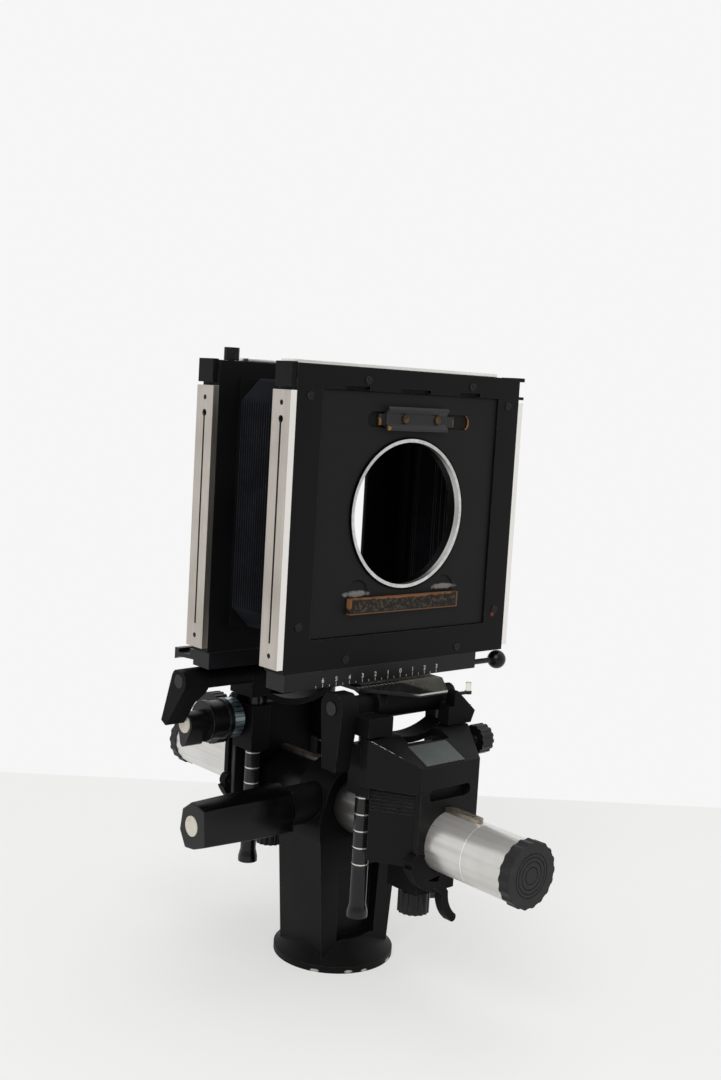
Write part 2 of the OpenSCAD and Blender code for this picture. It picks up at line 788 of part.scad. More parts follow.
// Frame: a square casting with a rebate for the board, corner flanges and strip seats.
module frame_body() {
    difference() {
        union() {
            block(-frame_w / 2, frame_w / 2, frame_in, frame_out, frame_z0, frame_z1);
            block(-frame_w / 2 - strip_t, -frame_w / 2, frame_in + 1.5, frame_out - 0.6,
                flange_z0, frame_z1 + 0.6);
            for (z = [[flange_z0, flange_z0 + 1.8], [frame_z1 - 1.8, frame_z1 + 0.6]])
                block(frame_w / 2 - 1, frame_w / 2 + strip_t + 1, frame_in + 1.5, frame_out - 0.6,
                    z[0], z[1]);
        }
        translate([0, 0, board_z]) {
            block(-board_seat / 2, board_seat / 2, front_u - board_t - eps, frame_out + 1,
                -board_seat / 2, board_seat / 2);
            block(-board_w / 2 + 5, board_w / 2 - 5, frame_in - 1, frame_out,
                -board_w / 2 + 5, board_w / 2 - 5);
            for (x = [[-54, -36], [-12, 12], [36, 54]])
                block(x[0], x[1], frame_out - 2, frame_out + 1,
                    board_seat / 2 + 0.1, board_seat / 2 + 2.6);
        }
    }
}

module front_frame() {
    color(black) translate([front_shift, 0, 0]) front() frame_body();
}

module rear_frame() {
    color(black) difference() {
        frame_body();
        translate([release_x, frame_u, frame_z1 - 8]) cylinder(r = release_r + fit, h = 12, $fn = 32);
    }
}

// Silver side strips with a keyhole slot along their outer face.
module strips() {
    for (s = [-1, 1]) mirror([s > 0 ? 0 : 1, 0, 0]) difference() {
        block(frame_w / 2 + eps, frame_w / 2 + strip_t, frame_in, frame_out, strip_z0, strip_z1);
        translate([frame_w / 2 + strip_t - 1.4, frame_u, 0]) {
            block(0, 2, -0.8, 0.8, strip_z0 + 14, strip_z1 - 16);
            translate([0, 0, strip_z1 - 16]) rod_x(2.1, 0, 2);
            for (z = strip_screw_z) translate([0, 0, z]) rod_x(1.5, 0, 2);
        }
    }
}

module strip_screws() {
    for (s = [-1, 1], z = strip_screw_z)
        mirror([s > 0 ? 0 : 1, 0, 0]) translate([frame_w / 2 + strip_t - 1.38, frame_u, z]) difference() {
            rod_x(1.46, 0, 0.9);
            block(0.5, 2, -0.25, 0.25, -2, 2);
        }
}

module front_strips() {
    color(silver) translate([front_shift, 0, 0]) front() strips();
}

module rear_strips() {
    color(silver) strips();
}

module front_strip_screws() {
    color("dimgray") translate([front_shift, 0, 0]) front() strip_screws();
}

module rear_strip_screws() {
    color("dimgray") strip_screws();
}

// Slotted screws on the face of the front frame and its bar.
module frame_screws() {
    color("dimgray") translate([front_shift, 0, 0]) front()
        for (p = [[-37.5, frame_z1 - 7], [46.5, frame_z1 - 7],
                [-43, frame_z0 + 5], [47.5, frame_z0 + 5],
                [-79, board_z + 66], [79, board_z + 66], [-79, board_z - 62], [79, board_z - 62]])
            translate([p[0], frame_out + eps, p[1]]) difference() {
                rod_y(2.4, 0, 0.5);
                rotate([0, 35, 0]) block(-3, 3, 0.2, 1, -0.3, 0.3);
            }
}

module lens_board() {
    color(black) translate([front_shift, 0, board_z]) front() difference() {
        block(-board_w / 2, board_w / 2, front_u - board_t, front_u, -board_w / 2, board_w / 2);
        rod_y(ring_od / 2 - 1.5 + eps, front_u - board_t - 1, front_u + 1, 96);
        hull() for (x = [-31, 42]) translate([x, 0, 54.6]) rod_y(4.6, front_u - 1.2, front_u + 1, 32);
        for (x = [-36, 33]) translate([x, front_u + 4, -46.5]) rotate([90, 0, 0])
            cylinder(r1 = 12, r2 = 8, h = 5, $fn = 48);
    }
}

// Silver ring round the opening, with a rim on the board's face.
module mount_ring() {
    color(silver) translate([front_shift, 0, board_z]) front() {
        ring_y(ring_od / 2, ring_id / 2, front_u + eps, front_u + 0.9);
        ring_y(ring_od / 2 - 1.5, ring_id / 2, front_u - board_t - 4, front_u + 0.5);
    }
}

// Bent latch plate above the opening, which slides in the board's recess.
module board_latch() {
    color("#2c2b2b") translate([front_shift, 0, board_z]) front() {
        rotate([90, 0, 90]) translate([0, 0, -23]) linear_extrude(48)
            polygon([[front_u - 1, 51], [front_u + 0.8, 51], [front_u + 3.6, 48.5], [front_u + 4.4, 50],
                [front_u + 2.2, 53], [front_u + 2.2, 58], [front_u + 4.6, 61], [front_u + 3.8, 62.4],
                [front_u + 0.8, 58.6], [front_u - 1, 58.6]]);
        block(-27, 33, front_u - 1.1, front_u + 0.3, 51.4, 57.8);
    }
}

module latch_rivets() {
    color("#9c7a3c") translate([front_shift, 0, board_z]) front()
        for (x = [-8.5, 17.5]) translate([x, 0, 55.4]) rod_y(2.3, front_u + 2.2 + eps, front_u + 3.1);
}

module board_ledge() {
    color("#5a4028") translate([front_shift, 0, board_z]) front()
        block(-board_w * 0.31, board_w * 0.31, front_u + eps, front_u + 3.2, -57.5, -48.2);
}

function bellows_ring(grow, y, cx, cz) =
    let (w = bellows_w / 2 + grow, h = bellows_h / 2 + grow, c = bellows_cut)
    [for (p = [[-w + c, -h], [w - c, -h], [w, -h + c], [w, h - c],
        [w - c, h], [-w + c, h], [-w, h - c], [-w, -h + c]]) [cx + p[0], y, cz + p[1]]];

// Bellows: sharp even pleats between the two standards, open from end to end.
module bellows() {
    y0 = -frame_in + bellows_plate_t + eps;
    y1 = frame_in - bellows_plate_t - eps;
    n = 2 * pleats;
    function folded(i, inset) = bellows_ring((i % 2 == 0 ? -pleat_depth : 0) - inset,
        y0 + (y1 - y0) * i / n, front_shift * (1 - i / n), board_z);
    outer = [for (i = [0 : n]) each folded(i, 0)];
    inner = [for (i = [0 : n]) each folded(i, bellows_wall)];
    k = len(outer);
    walls = [for (i = [0 : n - 1], j = [0 : 7]) let (a = i * 8 + j, b = i * 8 + (j + 1) % 8)
        each [[a, b, b + 8], [a, b + 8, a + 8],
            [k + b, k + a, k + a + 8], [k + b, k + a + 8, k + b + 8]]];
    ends = [for (j = [0 : 7]) let (a = j, b = (j + 1) % 8, c = n * 8 + j, d = n * 8 + (j + 1) % 8)
        each [[b, a, k + a], [b, k + a, k + b], [c, d, k + d], [c, k + d, k + c]]];
    color("#14161c") polyhedron(points = concat(outer, inner), faces = concat(walls, ends), convexity = 10);
}

module bellows_plate() {
    way = bellows_w / 2 - pleat_depth - 5;
    difference() {
        block(-bellows_w / 2, bellows_w / 2, frame_in - bellows_plate_t, frame_in - eps,
            board_z - bellows_h / 2, board_z + bellows_h / 2);
        block(-way, way, frame_in - 5, frame_in + 1, board_z - way, board_z + way);
    }
}

module bellows_front_plate() {
    color(black) translate([front_shift, 0, 0]) front() bellows_plate();
}

module bellows_rear_plate() {
    color(black) bellows_plate();
}

// Focusing knob: a grip with a flange and a shaft that enters the base.
module focus_knob() {
    x1 = -base_w1 / 2 - lever_gap;
    r = focus_knob_d / 2;
    color(black) translate([0, focus_u, focus_z]) {
        difference() {
            union() {
                rod_x(r - 1, focus_end_x, x1 - ring_w);
                rod_x(r, focus_end_x, focus_end_x + 2.5);
                rod_x(r, x1 - ring_w - 3.2, x1 - ring_w);
            }
            rod_x(focus_shaft_r + fit, focus_end_x - 1, focus_end_x + 8);
        }
        rod_x(focus_shaft_r, x1 - ring_w - 1, x1 + 7);
    }
}

module focus_ring() {
    x1 = -base_w1 / 2 - lever_gap;
    color("#5f7f86") translate([0, focus_u, focus_z]) difference() {
        rod_x(focus_knob_d / 2 - 0.4, x1 - ring_w + eps, x1 - 0.4);
        rod_x(focus_shaft_r + eps, x1 - ring_w - 1, x1 + 1);
    }
}

// Tongue-shaped lever at the knob's outer end, which locks the focus.
module focus_lever() {
    tongue = 13;
    color(black) translate([0, focus_u, focus_z]) {
        difference() {
            rotate([90, 0, 90]) translate([0, 0, focus_end_x - tongue - lever_gap])
                linear_extrude(tongue) hull() {
                    circle(r = 7.4, $fn = 32);
                    translate([1.5, -12]) circle(r = 3, $fn = 32);
                }
            rod_x(5.8, focus_end_x - tongue - 2, focus_end_x - tongue + 0.6);
        }
        rod_x(focus_shaft_r, focus_end_x - 2, focus_end_x + 7);
    }
}

module focus_lever_disc() {
    color("#d8d4cc") translate([0, focus_u, focus_z])
        rod_x(5.8 - eps, focus_end_x - 14, focus_end_x - 12.4 - eps);
}

// Ribbed release knob on the rear frame's top.
module frame_release() {
    color(black) translate([release_x, frame_u, frame_z1]) {
        translate([0, 0, gap]) fluted(9, 7.5, 14, 0.7);
        translate([0, 0, -7]) cylinder(r = release_r, h = 8, $fn = 32);
    }
}

pedestal();
tripod_bush();
brake_shoe();
clamp_handle();
handle_disc();
rail_tube();
rail_front_piece();
rail_rear_piece();
rail_front_cap();
rail_rear_cap();
rail_rack();
front_base();
nameplate();
front_jaw();
front_cam_lever();
front_lock_knob();
front_rise_knob();
front_cradle();
front_columns();
front_tilt_pin();
front_tilt_head();
front_scale_plate();
front_tilt_lever();
front_swing_plate();
front_bar();
shift_lock();
front_frame();
front_strips();
front_strip_screws();
frame_screws();
lens_board();
mount_ring();
board_latch();
latch_rivets();
board_ledge();
bellows_front_plate();
bellows();
bellows_rear_plate();
rear_base();
rear_jaw();
rear_cam_lever();
rear_lock_knob();
focus_knob();
focus_ring();
focus_lever();
focus_lever_disc();
rear_rise_knob();
rear_cradle();
rear_columns();
rear_tilt_pin();
rear_tilt_head();
rear_scale_plate();
rear_tilt_lever();
rear_swing_plate();
rear_bar();
rear_frame();
rear_strips();
rear_strip_screws();
frame_release();
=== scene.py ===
"""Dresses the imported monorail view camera: finishes, folded bellows, scale, fittings and stage."""

import math

import bmesh
import bpy
from mathutils import Matrix, Vector


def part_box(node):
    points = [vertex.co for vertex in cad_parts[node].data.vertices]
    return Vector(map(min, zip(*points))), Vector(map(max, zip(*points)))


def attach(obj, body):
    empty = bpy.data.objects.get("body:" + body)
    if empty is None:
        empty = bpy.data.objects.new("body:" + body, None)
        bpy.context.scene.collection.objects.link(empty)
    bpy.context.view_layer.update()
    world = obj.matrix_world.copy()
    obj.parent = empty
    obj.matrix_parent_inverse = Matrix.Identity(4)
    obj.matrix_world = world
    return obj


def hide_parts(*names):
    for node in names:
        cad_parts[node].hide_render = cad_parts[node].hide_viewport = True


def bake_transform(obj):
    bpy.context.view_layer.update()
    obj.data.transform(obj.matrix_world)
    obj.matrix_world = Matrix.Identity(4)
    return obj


bl_info = {
    "name": "Monorail view camera",
    "version": (1, 0, 0),
    "blender": (4, 5, 0),
    "location": "View3D > Sidebar > View camera",
    "description": "Builds the looks of a monorail view camera round its packed solids",
    "category": "Object",
}

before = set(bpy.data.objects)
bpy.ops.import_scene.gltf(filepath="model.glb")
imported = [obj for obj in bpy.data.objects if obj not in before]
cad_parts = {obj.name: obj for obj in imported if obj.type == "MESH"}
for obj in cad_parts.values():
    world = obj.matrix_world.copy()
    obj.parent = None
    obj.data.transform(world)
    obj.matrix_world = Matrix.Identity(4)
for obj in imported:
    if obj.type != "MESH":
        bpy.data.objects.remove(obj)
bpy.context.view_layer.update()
MM = 0.001
# The turn that stands a flat piece up, facing along Y.
UPRIGHT = (math.pi / 2, 0, 0)
FRONT_X = (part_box("lens_board")[0].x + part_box("lens_board")[1].x) / 2
BOARD_Z = (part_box("lens_board")[0].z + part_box("lens_board")[1].z) / 2

# The bodies that the bellows passes over, from rear to front, and the pleats on each joint.
PLEATS_PER_JOINT = [1, 1, 7, 1, 2, 2, 1, 7, 1, 1]

# The photograph's camera: its place, the directions of its picture, film width and lens.
CAMERA_PLACE = (-0.52914, -0.60380, 0.35020)
CAMERA_RIGHT = (0.7528, -0.6557, 0.0578)
CAMERA_UP = (0.0292, 0.1212, 0.9921)
CAMERA_AHEAD = (0.6576, 0.7452, -0.1104)
FILM_WIDTH_MM = 36.0
LENS_MM = 43.94

# The wall's tone begins at this distance from the origin, along this way over the table.
WALL_WAY = (0.6405, 0.768, 0)
WALL_BEGINS, WALL_FULL = 0.336, 0.340
# The room is brightest towards here: ahead of the camera and a little up.
BRIGHT_WAY = (0.6576, 0.7452, 0.35)

# The black of recesses that no light reaches: painted shade in the side strips' slots and the latch
# recess. The same colour is the black paint on the mount ring's inner wall and outer rim.
RECESS = "#060606"


def linear(code):
    """An sRGB hex colour as the linear colour that a shader takes."""
    parts = [int(code[i:i + 2], 16) / 255 for i in (1, 3, 5)]
    return [c / 12.92 if c <= 0.04045 else ((c + 0.055) / 1.055) ** 2.4 for c in parts] + [1.0]


def feed(tree, node, inputs):
    """Sets or links a node's inputs by name or number."""
    for key, value in inputs.items():
        if isinstance(value, bpy.types.NodeSocket):
            tree.links.new(value, node.inputs[key])
        else:
            node.inputs[key].default_value = value


def add(tree, kind, inputs=None, **settings):
    """Adds a node with its settings, and sets or links its inputs."""
    node = tree.nodes.new("ShaderNode" + kind)
    for name, value in settings.items():
        setattr(node, name, value)
    feed(tree, node, inputs or {})
    return node


def calc(tree, operation, *values):
    """The result of one sum on numbers or sockets, as a socket."""
    return add(tree, "Math", dict(enumerate(values)), operation=operation).outputs[0]


def dot(tree, first, second):
    """The dot product of two vectors, as a socket."""
    both = {0: first, 1: second}
    return add(tree, "VectorMath", both, operation="DOT_PRODUCT").outputs["Value"]


def length(tree, vector):
    """The length of a vector, as a socket."""
    return add(tree, "VectorMath", {0: vector}, operation="LENGTH").outputs["Value"]


def span(tree, value, low, high, to_low=0.0, to_high=1.0):
    """A value moved from one range to another, and kept inside it."""
    return add(tree, "MapRange", {"Value": value, "From Min": low, "From Max": high,
                                  "To Min": to_low, "To Max": to_high}).outputs["Result"]


def noise(tree, vector, scale, detail):
    """Soft random patches between 0 and 1, about as many to the metre as scale."""
    return add(tree, "TexNoise", {"Vector": vector, "Scale": scale,
                                  "Detail": detail}).outputs["Fac"]


def mix(tree, amount, first, second, **settings):
    """Two colours, each a hex code or a socket, mixed by an amount."""
    pair = [linear(c) if isinstance(c, str) else c for c in (first, second)]
    return add(tree, "MixRGB", {"Fac": amount, "Color1": pair[0], "Color2": pair[1]},
               **settings).outputs[0]


def bump(tree, height, depth, normal, strength=0.5):
    """The normal of a surface that a height pushes in and out."""
    return add(tree, "Bump", {"Strength": strength, "Distance": depth, "Height": height,
                              "Normal": normal}).outputs[0]


def rounded_normal(tree, radius):
    """The surface's normal, with the corners rounded to a radius."""
    return add(tree, "Bevel", {"Radius": radius}, samples=4).outputs[0]


def edge_mark(tree, rounded):
    """How far a rounded normal turns from the flat one: above 0 along edges."""
    flat = add(tree, "NewGeometry").outputs["Normal"]
    return calc(tree, "SUBTRACT", 1.0, dot(tree, rounded, flat))


class BellowsSizes(bpy.types.PropertyGroup):
    """Sizes of the folded bellows."""
    width: bpy.props.FloatProperty(
        name="Width", description="Outer width over the folds", default=0.148, unit="LENGTH")
    height: bpy.props.FloatProperty(
        name="Height", description="Outer height over the folds", default=0.148, unit="LENGTH")
    depth: bpy.props.FloatProperty(
        name="Fold depth", description="How far a fold goes in", default=0.005, unit="LENGTH")
    corner: bpy.props.FloatProperty(
        name="Cut corner", description="Length cut from each corner", default=0.012, unit="LENGTH")
    wall: bpy.props.FloatProperty(
        name="Wall", description="Thickness of the stiffened cloth", default=0.0006, unit="LENGTH")


class ScaleSizes(bpy.types.PropertyGroup):
    """Sizes of the painted scale on the front bar."""
    pitch: bpy.props.FloatProperty(
        name="Pitch", description="Distance between two numbers", default=0.010, unit="LENGTH")
    zero: bpy.props.FloatProperty(
        name="Zero", description="Place of the zero mark along X", default=0.004, unit="LENGTH")
    digit: bpy.props.FloatProperty(
        name="Digit size", description="Size of the letters' body", default=0.0037, unit="LENGTH")
    left: bpy.props.IntProperty(name="Left", description="Last number left of the zero", default=6)
    right: bpy.props.IntProperty(name="Right", description="Last number right of it", default=3)


class MaskSizes(bpy.types.PropertyGroup):
    """Sizes of the mask in the rear frame."""
    outer: bpy.props.FloatProperty(
        name="Outer side", description="Side of the square plate", default=0.139, unit="LENGTH")
    width: bpy.props.FloatProperty(
        name="Width", description="Width of the opening", default=0.079, unit="LENGTH")
    height: bpy.props.FloatProperty(
        name="Height", description="Height of the opening", default=0.120, unit="LENGTH")


class Colours(bpy.types.PropertyGroup):
    """Main colours of the finishes, as sRGB hex."""
    enamel: bpy.props.StringProperty(
        name="Enamel", description="Black enamel of the castings", default="#0c0c0d")
    frames: bpy.props.StringProperty(
        name="Frames", description="Satin black of the frames", default="#0b0b0c")
    board: bpy.props.StringProperty(
        name="Board", description="Matt black of the lens board", default="#111112")
    plastic: bpy.props.StringProperty(
        name="Plastic", description="Moulded black of the handle", default="#080809")
    rail: bpy.props.StringProperty(name="Rail", description="Aluminium tube", default="#e2e1de")
    strips: bpy.props.StringProperty(name="Strips", description="Side strips", default="#cfc9c1")
    cloth: bpy.props.StringProperty(name="Bellows", description="Coated cloth", default="#0a0a0e")


class StageLight(bpy.types.PropertyGroup):
    """Lamps and surroundings."""
    key: bpy.props.FloatProperty(name="Key", description="Watts of the main lamp", default=22.0)
    top: bpy.props.FloatProperty(name="Top", description="Watts of the lamp above", default=14.0)
    sky: bpy.props.FloatProperty(name="Room", description="Light from all round", default=0.5)


def sizes(group):
    """The settings of one group, as they stand in the scene."""
    return getattr(bpy.context.scene, group)


def fresh(name):
    """A new node material with its tree, its shader and the object's own coordinates."""
    material = bpy.data.materials.new(name)
    material.use_nodes = True
    tree = material.node_tree
    tree.nodes.clear()
    shader = add(tree, "BsdfPrincipled")
    add(tree, "OutputMaterial", {"Surface": shader.outputs[0]})
    coords = add(tree, "TexCoord").outputs["Object"]
    return material, tree, shader, coords


def soft_mask(tree, value, low, high):
    """0 below low, 1 above high, and smooth between."""
    return add(tree, "MapRange", {"Value": value, "From Min": low, "From Max": high},
               interpolation_type="SMOOTHSTEP").outputs["Result"]


def rubbed(tree, coords, breakup, places):
    """Mask of rubbed places, each an ellipsoid given by centre and half sizes in mm."""
    total = None
    for centre, half in places:
        local = add(tree, "Mapping", {"Vector": coords, "Location": [c * MM for c in centre],
                                      "Scale": [h * MM for h in half]}, vector_type="TEXTURE")
        near = calc(tree, "SUBTRACT", breakup, length(tree, local.outputs[0]))
        mask = soft_mask(tree, near, -0.5, -0.1)
        total = mask if total is None else calc(tree, "MAXIMUM", total, mask)
    return total


def enamel(name, paint, roughness, wear, metal="#b5b2aa", grain_mm=0.5, relief_mm=0.012,
           edge_mm=0.45, specular=0.3, places=(), place_paint=None, worn_and_highlit_edges=()):
    """Paint on metal: fine stipple, slow changes of tone, and metal on rubbed edges and places; the
    bare line along given edges is partly wear and partly a painted highlight.
    """
    material, tree, shader, coords = fresh(name)
    stipple = noise(tree, coords, 1 / (grain_mm * MM), 3.0)
    cloud = noise(tree, coords, 28.0, 4.0)
    scratch = noise(tree, coords, 260.0, 5.0)
    rounded = rounded_normal(tree, edge_mm * MM)
    edge = edge_mark(tree, rounded)
    worn = calc(tree, "MULTIPLY", edge, scratch)
    bare = soft_mask(tree, worn, 0.16 - 0.1 * wear, 0.26 - 0.12 * wear)
    bare = calc(tree, "MULTIPLY", bare, min(1.0, wear * 1.3))
    # Bare metal along given edges: partly wear, partly a painted highlight on the edge.
    if worn_and_highlit_edges:
        here = rubbed(tree, coords, scratch, worn_and_highlit_edges)
        line = calc(tree, "MULTIPLY", soft_mask(tree, edge, 0.02, 0.09), here)
        bare = calc(tree, "MAXIMUM", bare, line)
    tone = span(tree, cloud, 0.3, 0.7, 0.82, 1.2)
    dark = mix(tree, 1.0, paint, tone, blend_type="MULTIPLY")
    if places:
        spots = rubbed(tree, coords, scratch, places)
        dark = mix(tree, spots, dark, place_paint or metal)
        if place_paint is None:
            bare = calc(tree, "MAXIMUM", bare, spots)
    feed(tree, shader, {
        "Base Color": mix(tree, bare, dark, metal),
        "Metallic": bare,
        "Roughness": span(tree, cloud, 0.3, 0.7, roughness - 0.07, roughness + 0.08),
        "Specular IOR Level": specular,
        "Normal": bump(tree, stipple, relief_mm * MM, rounded, strength=0.6)})
    return material


def bare_metal(name, colour, tint, roughness, line_mm, relief_mm=0.004, spread=0.1,
               cloud_scale=30.0, metallic=1.0):
    """Bare or anodised metal: fine lines along one axis, with slow changes of tone and gloss."""
    material, tree, shader, coords = fresh(name)
    stretched = add(tree, "Mapping", {"Vector": coords, "Scale": [1 / (m * MM) for m in line_mm]})
    lines = noise(tree, stretched.outputs[0], 1.0, 3.0)
    cloud = noise(tree, coords, cloud_scale, 5.0)
    amount = span(tree, calc(tree, "MULTIPLY", lines, cloud), 0.12, 0.4)
    feed(tree, shader, {
        "Base Color": mix(tree, amount, tint, colour),
        "Metallic": metallic,
        "Roughness": span(tree, lines, 0.3, 0.7, roughness - spread / 2, roughness + spread / 2),
        "Normal": bump(tree, lines, relief_mm * MM, rounded_normal(tree, 0.3 * MM))})
    return material


def moulded(name, colour, roughness, grain_mm=0.8, edge_mm=0.6, specular=0.4, dust="#4a4a48",
            dust_amount=0.25):
    """Moulded or turned plastic and rubber: a soft skin with grey dust and rubbing on it."""
    material, tree, shader, coords = fresh(name)
    skin = noise(tree, coords, 1 / (grain_mm * MM), 2.0)
    cloud = noise(tree, coords, 45.0, 6.0)
    dusty = calc(tree, "MULTIPLY", soft_mask(tree, cloud, 0.5, 0.8), dust_amount)
    feed(tree, shader, {
        "Base Color": mix(tree, dusty, colour, dust),
        "Roughness": span(tree, cloud, 0.3, 0.7, roughness - 0.06, roughness + 0.12),
        "Specular IOR Level": specular,
        "Normal": bump(tree, skin, 0.01 * MM, rounded_normal(tree, edge_mm * MM))})
    return material


def repeat(tree, value, pitch, width):
    """Mask of lines, one each pitch and as wide as width, along a value in the same unit."""
    within = calc(tree, "FLOORED_MODULO", value, pitch)
    off = calc(tree, "SUBTRACT", within, pitch / 2)
    size = calc(tree, "ABSOLUTE", off)
    return calc(tree, "GREATER_THAN", size, pitch / 2 - width / 2)


def between(tree, value, low, high):
    """1 where a value lies between low and high."""
    over = calc(tree, "GREATER_THAN", value, low)
    under = calc(tree, "LESS_THAN", value, high)
    return calc(tree, "MULTIPLY", over, under)


def shader_of(material):
    """The shader node of a material made here."""
    return next(n for n in material.node_tree.nodes if n.type == "BSDF_PRINCIPLED")


def overlay(material, mask, colour, metallic=0.0):
    """Lays a second colour over a finished material where the mask is 1."""
    tree = material.node_tree
    shader = shader_of(material)
    under = shader.inputs["Base Color"].links[0].from_socket
    tree.links.new(mix(tree, mask, under, colour), shader.inputs["Base Color"])
    if metallic:
        was = shader.inputs["Metallic"]
        lower = was.links[0].from_socket if was.links else was.default_value
        shine = calc(tree, "MULTIPLY", mask, metallic)
        tree.links.new(calc(tree, "MAXIMUM", lower, shine), was)


def coordinate_vector(material):
    """The object's own coordinates inside a material, as a socket."""
    return next(n for n in material.node_tree.nodes if n.type == "TEX_COORD").outputs["Object"]


def coordinate(material, axis):
    """One of the object's own coordinates inside a material, as a socket."""
    return add(material.node_tree, "SeparateXYZ", {0: coordinate_vector(material)}).outputs[axis]


def on_board(x, y, z):
    """A place in mm whose X and Z start at the lens board's middle."""
    return (FRONT_X / MM + x, y, BOARD_Z / MM + z)


